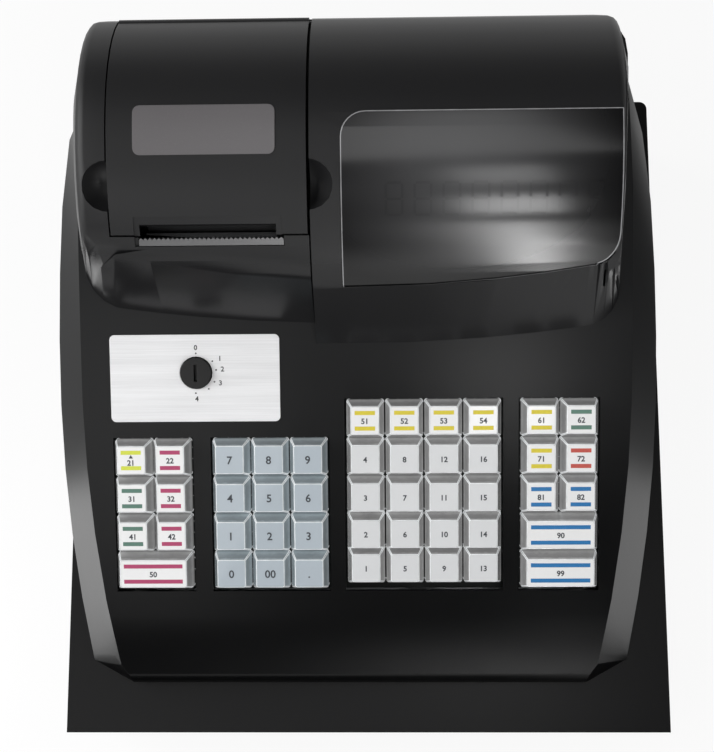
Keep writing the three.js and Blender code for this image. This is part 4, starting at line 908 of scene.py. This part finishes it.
class REGISTER_OT_keys(bpy.types.Operator):
    """Model each clear key cap with its printed label"""

    bl_idname = "register.keys"
    bl_label = "Keys"

    def execute(self, context):
        patterns = {}
        for node, (label, rows) in KEY_PRINTS.items():
            tops = cap_tops(node)
            if len(tops) != len(rows):
                raise RuntimeError(f"{node} has {len(tops)} tops for {len(rows)} prints")
            caps = []
            for (x, y, width, length), (bar, words) in zip(tops, rows):
                kind = (round(width / MM), bool(bar))
                if kind not in patterns:
                    name = f"cap_pattern_{kind[0]}_{int(kind[1])}"
                    patterns[kind] = model_cap(name, width, length, bool(bar))
                cap = copy_of(patterns[kind], f"{node}_cap_{len(caps) + 1}")
                wear(cap, *key_finishes("white" if bar else label, bar or "yellow"))
                cap = print_on(cap, words, NUMBER_PRINT if label == "grey" else SMALL_PRINT, PRINT_DROP)
                cap.matrix_world = PANEL @ Matrix.Translation((x, y, 0))
                apply_place(cap)
                caps.append(cap)
            key = join(caps, node + "_cap")
            settle(key, node, "grey_key" if label == "grey" else "clear_key", node)
        for pattern in patterns.values():
            discard(pattern)
        return {"FINISHED"}


class REGISTER_OT_cabinet(bpy.types.Operator):
    """Round and paint the drawer cabinet and set it on its feet"""

    bl_idname = "register.cabinet"
    bl_label = "Cabinet"

    def execute(self, context):
        radius = finish_settings().sheet_radius
        dress("drawer_cabinet", "cabinet_shell", "root", "cabinet_paint", cabinet_paint(), radius, 3)
        for node in ("foot_front_left", "foot_front_right", "foot_rear_left", "foot_rear_right"):
            dress(node, node + "_pad", "root", "black_rubber", rubber(), FOOT_EDGE, 3, 60)
        return {"FINISHED"}


class REGISTER_OT_drawer(bpy.types.Operator):
    """Finish the cash drawer, its tray, clips and lock"""

    bl_idname = "register.drawer"
    bl_label = "Drawer"

    def execute(self, context):
        radius = finish_settings().sheet_radius
        zinc = material("zinc_sheet", zinc_sheet, (0.42, 0.43, 0.44, 1))
        grey = material(
            "tray_plastic", moulded_plastic, (0.05, 0.052, 0.056, 1), 0.5, COARSE_GRAIN, TRAY_DEPTH,
        )
        steel = material("lock_steel", drawn_metal, (0.62, 0.62, 0.63, 1), 0.28)
        spring = material("clip_steel", drawn_metal, (0.55, 0.56, 0.57, 1), 0.3, (4.0, 0.1, 1.0))
        dress("drawer_front", "drawer_face", "drawer", "cabinet_paint", cabinet_paint(), radius, 3)
        dress("cash_drawer", "drawer_pan", "drawer", "sheet_steel", zinc, SHEET_EDGE)
        dress("money_tray", "coin_and_note_tray", "drawer", "tray_plastic", grey, TRAY_EDGE, 3)
        dress("drawer_lock", "drawer_lock_barrel", "drawer_lock", "lock_steel", steel, LOCK_EDGE)
        for number in range(1, 5):
            clip = f"bill_clip_{number}"
            dress(clip, clip + "_spring", clip, "clip_steel", spring, CLIP_EDGE)
        return {"FINISHED"}


# How far back the ribs of the case's front corners reach
CASE_RIB_Y = -128 * MM

# The case's tail, drawn in behind the tower: where it starts, how long it is, and by which share it narrows
TAIL_START = 95 * MM
TAIL_LENGTH = 50 * MM
TAIL_SHARE = 0.018

# The wide curve before the case's front edge: its length, fall and cuts, and the heights it works between
BEND_LENGTH = 34 * MM
BEND_DROP = 4 * MM
BEND_STEPS = 7
BEND_FOOT = 95 * MM
BEND_TOP = 109 * MM

# The front edge that gets the rolled lip: how deep its top reaches, and the least length of an edge along it
LIP_DEPTH = 1 * MM
LIP_LENGTH = 100 * MM


class REGISTER_OT_case(bpy.types.Operator):
    """Shape the keyboard case with its rolled front lip"""

    bl_idname = "register.case"
    bl_label = "Keyboard case"

    def execute(self, context):
        case = copy_node("keyboard_case", "case_shell")
        self.draw_in_tail(case)
        self.bend_front(case)
        self.roll_lip(case)
        add_bevel(case, finish_settings().edge_radius, 3, spare=self.corner_rib)
        wear(case, case_plastic())
        settle(case, "root", "case_plastic", "keyboard_case")
        return {"FINISHED"}

    @staticmethod
    def corner_rib(edge):
        """Whether an edge runs across a front corner, where the side band turns into the front."""
        if len(edge.link_faces) != 2 or max(vertex.co.y for vertex in edge.verts) > CASE_RIB_Y:
            return False
        return all(abs(face.normal.x) > 0.4 and face.normal.z > 0.05 for face in edge.link_faces)

    @staticmethod
    def draw_in_tail(case):
        """Draw the case's rear end in behind the tower."""
        for vertex in case.data.vertices:
            share = min(max((vertex.co.y - TAIL_START) / TAIL_LENGTH, 0), 1)
            vertex.co.x *= 1 - TAIL_SHARE * share

    def bend_front(self, case):
        """Let the panel fall away a little, in a wide curve, before its front edge."""
        edit(case)
        front = CASE_LOW.y
        for number in range(BEND_STEPS):
            bpy.ops.mesh.select_all(action="SELECT")
            bpy.ops.mesh.bisect(
                plane_co=(0, front + BEND_LENGTH * (number + 1) / BEND_STEPS, 0), plane_no=(0, 1, 0),
            )
        leave()
        for vertex in case.data.vertices:
            along = (front + BEND_LENGTH - vertex.co.y) / BEND_LENGTH
            height = (vertex.co.z - BEND_FOOT) / (BEND_TOP - BEND_FOOT)
            if along > 0 and height > 0:
                vertex.co.z -= BEND_DROP * along ** 2 * min(height, 1)

    def roll_lip(self, case):
        """Round the long front edge between the sloping panel and the undercut front."""
        form = edit(case, "EDGE")
        front = min(vertex.co.y for vertex in form.verts)
        top = max(vertex.co.z for vertex in form.verts if vertex.co.y - front < LIP_DEPTH)

        def along_lip(edge):
            first, second = (vertex.co for vertex in edge.verts)
            level = abs(first.z - top) < TOUCH and abs(second.z - top) < TOUCH
            return level and abs(first.y - second.y) < TOUCH and (first - second).length > LIP_LENGTH

        choose(case, along_lip, "EDGE")
        bpy.ops.mesh.bevel(offset=finish_settings().lip_radius, segments=8, affect="EDGES")
        leave()


# The upright ribs round the tower's front corners: least height, least way from the middle, and how far back
RIB_HEIGHT = 20 * MM
RIB_SIDE = 108 * MM
RIB_REAR = 60 * MM

# The stepped rib ends that are drawn together: from which height, and from where at each side
STEPS_FOOT = 188 * MM
STEPS_RIGHT = 111 * MM
STEPS_LEFT = 115 * MM

# Edges of the shells sharper than this, in degrees, are rounded
SHELL_ANGLE = 38


class REGISTER_OT_tower(bpy.types.Operator):
    """Shape the printer housing, the display housing and the printer door"""

    bl_idname = "register.tower"
    bl_label = "Tower"

    def execute(self, context):
        radius = finish_settings().edge_radius
        for node, name in (("printer_housing", "printer_shell"), ("display_housing", "display_shell")):
            shell = copy_node(node, name)
            self.even_corner(shell)
            add_bevel(shell, radius, 3, SHELL_ANGLE, spare=self.corner_rib)
            wear(shell, tower_plastic())
            settle(shell, "root", "tower_plastic", node)
        dress(
            "printer_door", "printer_lid", "printer_door", "tower_plastic", tower_plastic(), radius, 3,
            SHELL_ANGLE,
        )
        blade = material("tear_steel", drawn_metal, (0.2, 0.2, 0.202, 1), 0.35, (0.1, 3.0, 3.0))
        dress("tear_bar", "tear_blade", "root", "tear_steel", blade, LEAST_EDGE)
        return {"FINISHED"}

    @staticmethod
    def corner_rib(edge):
        """Whether an edge is one of the long ribs round a front corner."""
        low, high = sorted(vertex.co.z for vertex in edge.verts)
        middle = (edge.verts[0].co + edge.verts[1].co) / 2
        return high - low > RIB_HEIGHT and abs(middle.x) > RIB_SIDE and middle.y < RIB_REAR

    @staticmethod
    def even_corner(shell):
        """Draw the stepped upper ends of the corner ribs together."""
        form = edit(shell, "VERT")
        for vertex in form.verts:
            side = STEPS_RIGHT if vertex.co.x > 0 else STEPS_LEFT
            if abs(vertex.co.x) > side and vertex.co.y < RIB_REAR and vertex.co.z > STEPS_FOOT:
                vertex.select_set(True)
        form.select_flush_mode()
        bmesh.update_edit_mesh(shell.data)
        bpy.ops.mesh.vertices_smooth(factor=0.5, repeat=2)
        leave()


def lay_on_roof(piece, start):
    """Bend a flat piece onto the roof: y becomes the way up the arc from a start angle, and z the rise."""
    for vertex in piece.data.vertices:
        angle = start - vertex.co.y / ROOF_RADIUS
        radius = ROOF_RADIUS + vertex.co.z
        vertex.co.y = SUMMIT_Y - radius * math.sin(angle)
        vertex.co.z = ROOF_CENTRE_Z + radius * math.cos(angle)


def roof_angle(y):
    """The roof's angle from upright at a place along the register."""
    return math.asin((SUMMIT_Y - y) / ROOF_RADIUS)


# The bare name plate: its place on the printer door, its size, and the slices that let it follow the roof
BADGE_LEFT = DOOR_LOW.x + 14.6 * MM
BADGE_WIDTH = 64.2 * MM
BADGE_FRONT = CASE_HIGH.y - 75 * MM
BADGE_REAR = CASE_HIGH.y - 52.7 * MM
BADGE_CORNER = 3.2 * MM
BADGE_SHEET = 0.4 * MM
BADGE_SLICES = 10


class REGISTER_OT_badge(bpy.types.Operator):
    """Model the bare name plate on the printer door"""

    bl_idname = "register.badge"
    bl_label = "Name plate"

    def execute(self, context):
        start = roof_angle(BADGE_FRONT)
        length = (start - roof_angle(BADGE_REAR)) * ROOF_RADIUS
        deselect()
        bpy.ops.mesh.primitive_plane_add(size=1)
        plate = bpy.context.object
        plate.name = "name_plate"
        plate.scale = (BADGE_WIDTH, length, 1)
        apply_place(plate)
        edit(plate, "VERT")
        bpy.ops.mesh.select_all(action="SELECT")
        bpy.ops.mesh.bevel(offset=BADGE_CORNER, segments=6, affect="VERTICES")
        step = length / BADGE_SLICES
        for number in range(1, BADGE_SLICES):
            bpy.ops.mesh.select_all(action="SELECT")
            bpy.ops.mesh.bisect(plane_co=(0, number * step - length / 2, 0), plane_no=(0, 1, 0))
        bpy.ops.mesh.select_all(action="SELECT")
        bpy.ops.mesh.extrude_region_move(TRANSFORM_OT_translate={"value": (0, 0, BADGE_SHEET)})
        bpy.ops.mesh.select_all(action="SELECT")
        bpy.ops.mesh.normals_make_consistent(inside=False)
        leave()
        plate.location = (BADGE_LEFT + BADGE_WIDTH / 2, length / 2, 0)
        apply_place(plate)
        lay_on_roof(plate, start)
        add_bevel(plate, LEAST_EDGE)
        wear(plate, material(
            "name_plate", moulded_plastic, (0.125, 0.118, 0.122, 1), 0.35, COARSE_GRAIN, FAINT_DEPTH,
        ))
        settle(plate, "printer_door", "tower_plastic")
        return {"FINISHED"}


# The display's eight digits behind the window, each of seven strokes with a middle and a reach as shares
DIGIT_COUNT = 8
DIGIT_PITCH = 13 * MM
DIGIT_WIDTH = 7.4 * MM
DIGIT_HEIGHT = 14.5 * MM
DIGIT_STROKE = 1.1 * MM
DIGIT_LEFT = WINDOW_LOW.x + 24 * MM
DIGIT_FOOT = WINDOW_HIGH.y - 44 * MM
DIGIT_RISE = 1.1 * MM
DIGIT_STROKES = (
    (0, 0.0, 0.7, 0), (0, 0.5, 0.7, 0), (0, 1.0, 0.7, 0),
    (-0.5, 0.25, 0, 0.7), (0.5, 0.25, 0, 0.7), (-0.5, 0.75, 0, 0.7), (0.5, 0.75, 0, 0.7),
)

# The painted highlight line round the window's face, how straight a face must look outward, and the edges'
# rounding
WINDOW_LINE = 0.5 * MM
WINDOW_FACING = 0.7
WINDOW_EDGE = 0.3 * MM


class REGISTER_OT_window(bpy.types.Operator):
    """Finish the curved display window"""

    bl_idname = "register.window"
    bl_label = "Display window"

    def execute(self, context):
        window = copy_node("display_window", "display_lens")
        wear(
            window,
            material(
                "smoked_window", smoked_window, (0.0025, 0.0025, 0.0027, 1), (0.058, 0.058, 0.06, 1), 0.11,
            ),
            material("window_edge", clear_edge, (0.2, 0.2, 0.205, 1)),
        )
        edit(window)
        choose(window, lambda face: face.normal.dot(self.outward(face)) > WINDOW_FACING)
        # The ring round the window's face glows by emission: a painted highlight line
        for face in bmesh.from_edit_mesh(window.data).faces:
            if face.select:
                face.material_index = 1
        bpy.ops.mesh.inset(thickness=WINDOW_LINE)
        for face in bmesh.from_edit_mesh(window.data).faces:
            if face.select:
                face.material_index = 0
        leave()
        add_bevel(window, WINDOW_EDGE, 2, 40)
        settle(window, "root", "window_gloss", "display_window")
        self.digits()
        return {"FINISHED"}

    @staticmethod
    def outward(face):
        """The way from the roof's axis to a face."""
        way = face.calc_center_median() - ROOF_AXIS
        way.x = 0
        return way.normalized()

    @staticmethod
    def digits():
        """The dark segments of the display, seen through the window."""
        strokes = []
        for number in range(DIGIT_COUNT):
            for x, y, wide, tall in DIGIT_STROKES:
                deselect()
                bpy.ops.mesh.primitive_plane_add(size=1)
                stroke = bpy.context.object
                stroke.scale = (wide * DIGIT_WIDTH + DIGIT_STROKE, tall * DIGIT_HEIGHT / 2 + DIGIT_STROKE, 1)
                stroke.location = (
                    DIGIT_LEFT + number * DIGIT_PITCH + x * DIGIT_WIDTH, y * DIGIT_HEIGHT, DIGIT_RISE,
                )
                apply_place(stroke)
                strokes.append(stroke)
        shown = join(strokes, "display_digits")
        lay_on_roof(shown, roof_angle(DIGIT_FOOT))
        # The digits share the window's painted highlight over their middle
        wear(shown, material(
            "digit_smoke", smoked_window, (0.002, 0.002, 0.0022, 1), (0.05, 0.05, 0.052, 1), 0.12,
        ))
        settle(shown, "root", "display_glass")


# The mode plate's dots and numbers round the lock, in millimetres from its middle, and their sizes
MODE_DOTS = ((0.1, 9.6), (8.1, 5.7), (9.9, 1.4), (9.0, -4.4), (6.1, -7.9), (-0.3, -10.0))
MODE_NUMBERS = (("0", 0.0, 12.3), ("1", 11.8, 6.9), ("2", 13.0, 1.7), ("3", 11.9, -5.1), ("4", 0.2, -12.9))
MODE_DOT_RADIUS = 0.42 * MM
MODE_PRINT = 3.4 * MM
MODE_PRINT_WEIGHT = 0.08 * MM


class REGISTER_OT_mode_lock(bpy.types.Operator):
    """Finish the brushed plate, its printed dots and numbers, and the mode lock"""

    bl_idname = "register.mode_lock"
    bl_label = "Mode lock"

    def execute(self, context):
        bright = material("brushed_plate", brushed_plate, (0.9, 0.9, 0.91, 1))
        plate = dress("mode_plate", "mode_panel", "root", "brushed_plate", bright, PLATE_EDGE)
        rise = max((PANEL.inverted() @ vertex.co).z for vertex in plate.data.vertices) + PRINT_LIFT
        marks = []
        for x, y in MODE_DOTS:
            deselect()
            bpy.ops.mesh.primitive_circle_add(
                vertices=12, radius=MODE_DOT_RADIUS, fill_type="NGON", location=(x * MM, y * MM, rise),
            )
            marks.append(bpy.context.object)
        for words, x, y in MODE_NUMBERS:
            text = flat_text(words, MODE_PRINT, MODE_PRINT_WEIGHT)
            text.location = (x * MM, y * MM, rise)
            marks.append(text)
        for mark in marks:
            apply_place(mark)
        printed = join(marks, "mode_marks")
        printed.matrix_world = PANEL
        apply_place(printed)
        wear(printed, material("plate_ink", key_print, (0.03, 0.03, 0.032, 1)))
        settle(printed, "root", "brushed_plate")
        black = material(
            "rotor_black", moulded_plastic, (0.006, 0.006, 0.006, 1), 0.35, COARSE_GRAIN, LIGHT_DEPTH, 0.3,
        )
        dress("mode_lock", "mode_rotor", "mode_lock", "lock_steel", black, LOCK_EDGE, 3)
        return {"FINISHED"}


# The power inlet in the supply's rear: its rim and depth, its pins' size, and their places in millimetres
INLET_RIM = 3 * MM
INLET_DEPTH = 9 * MM
INLET_PIN = (2 * MM, 7 * MM, 5 * MM)
INLET_PINS = ((0, 2.5), (-6, -1.5), (6, -1.5))


class REGISTER_OT_inside(bpy.types.Operator):
    """Finish the pieces inside the register"""

    bl_idname = "register.inside"
    bl_label = "Inside"

    def execute(self, context):
        finishes = {
            "base_plate": material("base_zinc", zinc_sheet, (0.4, 0.41, 0.42, 1)),
            "main_board": material("board_green", circuit_board, (0.012, 0.09, 0.035, 1)),
            "keyboard_board": material("board_black", circuit_board, (0.004, 0.006, 0.005, 1)),
            "display_module": material("module_glass", dark_glass, (0.01, 0.012, 0.014, 1), 0.15),
        }
        for node, finish in finishes.items():
            for place in frame["nodes"][node].material_slots:
                place.material = finish
        self.supply()
        dark = material(
            "frame_plastic", moulded_plastic, (0.035, 0.036, 0.038, 1), 0.5, COARSE_GRAIN, SOFT_DEPTH,
        )
        paper = material("paper", paper_stack, (0.86, 0.85, 0.82, 1))
        dress("printer_mechanism", "printer_frame", "root", "frame_plastic", dark, SHEET_EDGE)
        dress("platen_roller", "platen", "platen_roller", "black_rubber", rubber(), LOCK_EDGE, 2, 40)
        dress("paper_roll", "receipt_roll", "paper_roll", "paper", paper, SHEET_EDGE, 2, 40)
        return {"FINISHED"}

    @staticmethod
    def supply():
        """The power supply with its inlet sunk into the rear and three pins in it."""
        supply = copy_node("power_supply", "supply_box")
        finishes = (
            material("supply_metal", drawn_metal, (0.4, 0.41, 0.42, 1), 0.4),
            material(
                "inlet_black", moulded_plastic, (0.012, 0.012, 0.013, 1), 0.4, COARSE_GRAIN, LIGHT_DEPTH,
            ),
            material("inlet_pins", drawn_metal, (0.6, 0.58, 0.5, 1), 0.3),
        )
        wear(supply, *finishes)
        form = edit(supply)
        rear = max(vertex.co.y for vertex in form.verts)
        choose(supply, lambda face: face.normal.y > 0.9 and face.calc_center_median().y > rear - TOUCH)
        mouth = [vertex.co.copy() for vertex in form.verts if vertex.select]
        centre = sum(mouth, Vector()) / len(mouth)
        bpy.ops.mesh.inset(thickness=INLET_RIM)
        bpy.ops.mesh.extrude_region_move(TRANSFORM_OT_translate={"value": (0, -INLET_DEPTH, 0)})
        for face in bmesh.from_edit_mesh(supply.data).faces:
            if face.calc_center_median().y > rear - INLET_DEPTH - TOUCH:
                face.material_index = 1
        leave()
        pins = []
        for x, z in INLET_PINS:
            deselect()
            bpy.ops.mesh.primitive_cube_add(size=1)
            pin = bpy.context.object
            pin.scale = INLET_PIN
            pin.location = centre + Vector((x * MM, INLET_PIN[1] / 2 - INLET_DEPTH, z * MM))
            apply_place(pin)
            wear(pin, *finishes)
            for polygon in pin.data.polygons:
                polygon.material_index = 2
            pins.append(pin)
        supply = join([supply, *pins], "supply_box")
        add_bevel(supply, LOCK_EDGE)
        settle(supply, "root", "supply_metal", "power_supply")


# The lamps that the window shows one above the other: turn and rise in degrees, reach, size and power's share
GLOW_PLACE = Vector((73.7, 55.8, 207.6)) * MM
GLOW_LAMPS = (
    ("glow_low", 6, 26, 2.4, (0.093, 1.17), 5.5),
    ("glow_middle", 6.5, 53, 0.3, (0.06, 0.06), 0.076),
    ("glow_high", 8, 72, 0.3, (0.06, 0.06), 0.029),
)

# The soft boxes: place in metres, size in metres and share of the side power
SOFT_BOXES = (
    ("left_box", (-0.95, 0.1, 0.8), 0.9, 1),
    ("right_box", (0.95, 0.1, 0.8), 0.9, 0.1),
    ("rear_box", (0.1, 1.1, 0.9), 0.8, 0.03),
    ("top_box", (0, 0, 1.8), 0.6, 0.2),
    ("panel_box", (-0.28, -0.42, 0.93), 0.3, 0.085),
)

# The small lamp that the case's right front corner shows: its place, what it looks at and its size in metres
CORNER_LAMP = Vector((0.14, -0.33, 0.4))
CORNER_PLACE = Vector((0.1, -0.138, 0.11))
CORNER_SIZE = (0.03, 0.06)

# The low cards of light beside the case, in metres, with the side and share of power of each
LOW_CARDS = (("left_card", -1, 1), ("right_card", 1, 0.55))
LOW_CARD_Y = -0.135
LOW_CARD_X = 0.32
LOW_CARD_Z = 0.05
LOW_CARD_AIM_X = 0.1
LOW_CARD_AIM_Z = 0.11
LOW_CARD_SIZE = (0.14, 0.09)


def seen_directly(shader):
    """1 for camera, glossy and transmission rays."""
    camera, glossy, through = (
        shader.add("ShaderNodeLightPath", output=name)
        for name in ("Is Camera Ray", "Is Glossy Ray", "Is Transmission Ray")
    )
    either = shader.add("ShaderNodeMath", {"operation": "MAXIMUM"}, {0: camera, 1: glossy})
    return shader.add("ShaderNodeMath", {"operation": "MAXIMUM"}, {0: either, 1: through})


def white_floor():
    """A pale floor that the camera sees as white where no shadow lies."""
    shader = Shader("white_floor")
    matt = shader.add("ShaderNodeBsdfDiffuse", None, {"Color": (0.9, 0.9, 0.9, 1)})
    light = shader.add("ShaderNodeEmission", None, {"Color": (1, 1, 1, 1), "Strength": 1.0})
    amount = seen_directly(shader) * 0.9
    return shader.finish(shader.add("ShaderNodeMixShader", None, {0: amount, 1: matt, 2: light}))


def card_black(name, axis, start, length, stops):
    """A black card whose cover goes through a row of stops along one axis."""
    shader = Shader(name)
    share = (shader.along(axis) - start) / length
    cloud = shader.noise(6, 2)
    cover = shader.ramp(share + (cloud - 0.5) * 0.04, stops)
    clear = shader.add("ShaderNodeBsdfTransparent", None, {"Color": (1, 1, 1, 1)})
    black = shader.add("ShaderNodeBsdfDiffuse", None, {"Color": (0.002, 0.002, 0.002, 1)})
    return shader.finish(shader.add("ShaderNodeMixShader", None, {0: cover, 1: clear, 2: black}))


# Black cards just above the floor, outside the picture, that only reflections show: each one's middle, size,
# axis along which it fades, start and length of the fading (all in metres), and its cover
CARD_RISE = 1 * MM
FLOOR_CARDS = (
    (
        "right_flag", (0.83, 0.13), (1.0, 0.6), "Y", -0.14, 0.26,
        ((0, 0), (0.12, 0.1), (0.31, 0.55), (0.5, 0.85), (0.8, 1)),
    ),
    ("left_flag", (-0.5, 0.13), (0.34, 0.56), "Y", -0.12, 0.2, ((0, 0), (0.15, 0), (0.6, 0.38), (1, 0.38))),
    ("front_flag", (-0.15, -0.8), (0.9, 1.0), "X", 0.1, 0.14, ((0, 1), (1, 0))),
)


class REGISTER_OT_stage(bpy.types.Operator):
    """Set the camera, the floor, the lamps and the world"""

    bl_idname = "register.stage"
    bl_label = "Stage"

    def execute(self, context):
        scene = context.scene
        scene.view_settings.view_transform = "Standard"
        self.camera(scene)
        self.floor()
        self.world(scene)
        self.lamps(scene)
        return {"FINISHED"}

    def lamps(self, scene):
        """The soft boxes, the lamps that the window shows, the corner's lamp and the low cards."""
        settings = stage_settings()
        centre = (CASE_LOW + CASE_HIGH) / 2
        for name, place, size, share in SOFT_BOXES:
            self.lamp(scene, name, Vector(place), centre, (size, size), settings.side_power * share)
        for name, turn, rise, reach, size, share in GLOW_LAMPS:
            turn, level = math.radians(turn), math.radians(rise)
            way = Vector((
                math.sin(turn) * math.cos(level), -math.cos(turn) * math.cos(level), math.sin(level),
            ))
            self.lamp(scene, name, GLOW_PLACE + way * reach, GLOW_PLACE, size, settings.glow_power * share)
        self.lamp(scene, "corner_glow", CORNER_LAMP, CORNER_PLACE, CORNER_SIZE, settings.corner_power)
        for name, side, share in LOW_CARDS:
            place = Vector((side * LOW_CARD_X, LOW_CARD_Y, LOW_CARD_Z))
            target = Vector((side * LOW_CARD_AIM_X, LOW_CARD_Y, LOW_CARD_AIM_Z))
            self.lamp(scene, name, place, target, LOW_CARD_SIZE, settings.card_power * share)

    def camera(self, scene):
        """The photograph's view."""
        data = bpy.data.cameras.new("camera")
        data.lens = PHOTO_LENS
        data.sensor_width = SENSOR_WIDTH
        data.sensor_fit = "AUTO"
        data.clip_start = 0.01
        data.clip_end = 50
        camera = bpy.data.objects.new("camera", data)
        scene.collection.objects.link(camera)
        roll = Matrix.Rotation(CAMERA_ROLL, 3, "Z")
        yaw = Matrix.Rotation(CAMERA_YAW, 3, "Y")
        pitch = Matrix.Rotation(CAMERA_PITCH, 3, "X")
        rows = roll @ yaw @ pitch @ Matrix(((1, 0, 0), (0, -1, 0), (0, 0, -1)))
        axes = Matrix((rows[0], -rows[1], -rows[2])).transposed()
        camera.matrix_world = Matrix.Translation(CAMERA_PLACE) @ axes.to_4x4()
        scene.camera = camera

    def floor(self):
        """A wide pale floor under the feet."""
        deselect()
        bpy.ops.mesh.primitive_plane_add(size=stage_settings().floor_size, location=(0, 0, 0))
        floor = bpy.context.object
        floor.name = "floor"
        wear(floor, white_floor())
        for name, (x, y), (wide, deep), axis, start, length, stops in FLOOR_CARDS:
            deselect()
            bpy.ops.mesh.primitive_plane_add(size=1, location=(x, y, CARD_RISE))
            card = bpy.context.object
            card.name = name
            card.scale = (wide, deep, 1)
            apply_place(card)
            wear(card, card_black(name, axis, start, length, stops))
            card.visible_camera = card.visible_diffuse = card.visible_shadow = False

    def world(self, scene):
        """Soft grey surroundings, and the white round the floor that the camera and reflections see."""
        shader = Shader("surroundings", world=True)
        way = shader.add("ShaderNodeTexCoord", output="Generated")
        height = shader.add("ShaderNodeSeparateXYZ", None, {"Vector": way}, "Z")
        level = shader.ramp(height, ((0.0, 0.55), (0.3, 0.45), (0.55, 0.07), (0.8, 0.02)))
        around = shader.add("ShaderNodeBackground", None, {"Color": level})
        low_white = shader.ramp(height, ((0.0, 1.0), (0.25, 1.0), (0.45, 0.12), (0.8, 0.02)))
        seen = shader.add("ShaderNodeBackground", None, {"Color": low_white})
        amount = seen_directly(shader)
        scene.world = shader.finish(shader.add("ShaderNodeMixShader", None, {0: amount, 1: around, 2: seen}))

    def lamp(self, scene, name, place, target, size, power):
        """A soft box, as wide and tall as given, that looks at a target and isn't seen itself."""
        data = bpy.data.lights.new(name, "AREA")
        data.shape = "RECTANGLE"
        data.size, data.size_y = size
        data.energy = power
        lamp = bpy.data.objects.new(name, data)
        scene.collection.objects.link(lamp)
        lamp.location = place
        lamp.rotation_euler = (target - place).to_track_quat("-Z", "Y").to_euler()
        lamp.visible_camera = False
        return lamp


class REGISTER_PT_panel(bpy.types.Panel):
    """The register's pieces and settings in the sidebar"""

    bl_idname = "REGISTER_PT_panel"
    bl_label = "Cash register"
    bl_space_type = "VIEW_3D"
    bl_region_type = "UI"
    bl_category = "Register"

    def draw(self, context):
        for group in (context.scene.register_finish, context.scene.register_stage):
            for name in group.__annotations__:
                self.layout.prop(group, name)
        for operator in OPERATORS:
            self.layout.operator(operator.bl_idname)


OPERATORS = (
    REGISTER_OT_stage, REGISTER_OT_cabinet, REGISTER_OT_drawer, REGISTER_OT_case, REGISTER_OT_tower,
    REGISTER_OT_badge, REGISTER_OT_window, REGISTER_OT_mode_lock, REGISTER_OT_keys, REGISTER_OT_inside,
)
CLASSES = (RegisterFinish, StageSettings, *OPERATORS, REGISTER_PT_panel)


def register():
    """Register the classes and their settings."""
    for item in CLASSES:
        bpy.utils.register_class(item)
    bpy.types.Scene.register_finish = bpy.props.PointerProperty(type=RegisterFinish)
    bpy.types.Scene.register_stage = bpy.props.PointerProperty(type=StageSettings)


def unregister():
    """Remove the settings and the classes."""
    del bpy.types.Scene.register_stage
    del bpy.types.Scene.register_finish
    for item in reversed(CLASSES):
        bpy.utils.unregister_class(item)


def main():
    """Make the register."""
    register()
    for operator in OPERATORS:
        group, name = operator.bl_idname.split(".")
        getattr(getattr(bpy.ops, group), name)()
    deselect()


if __name__ == "__main__":
    main()
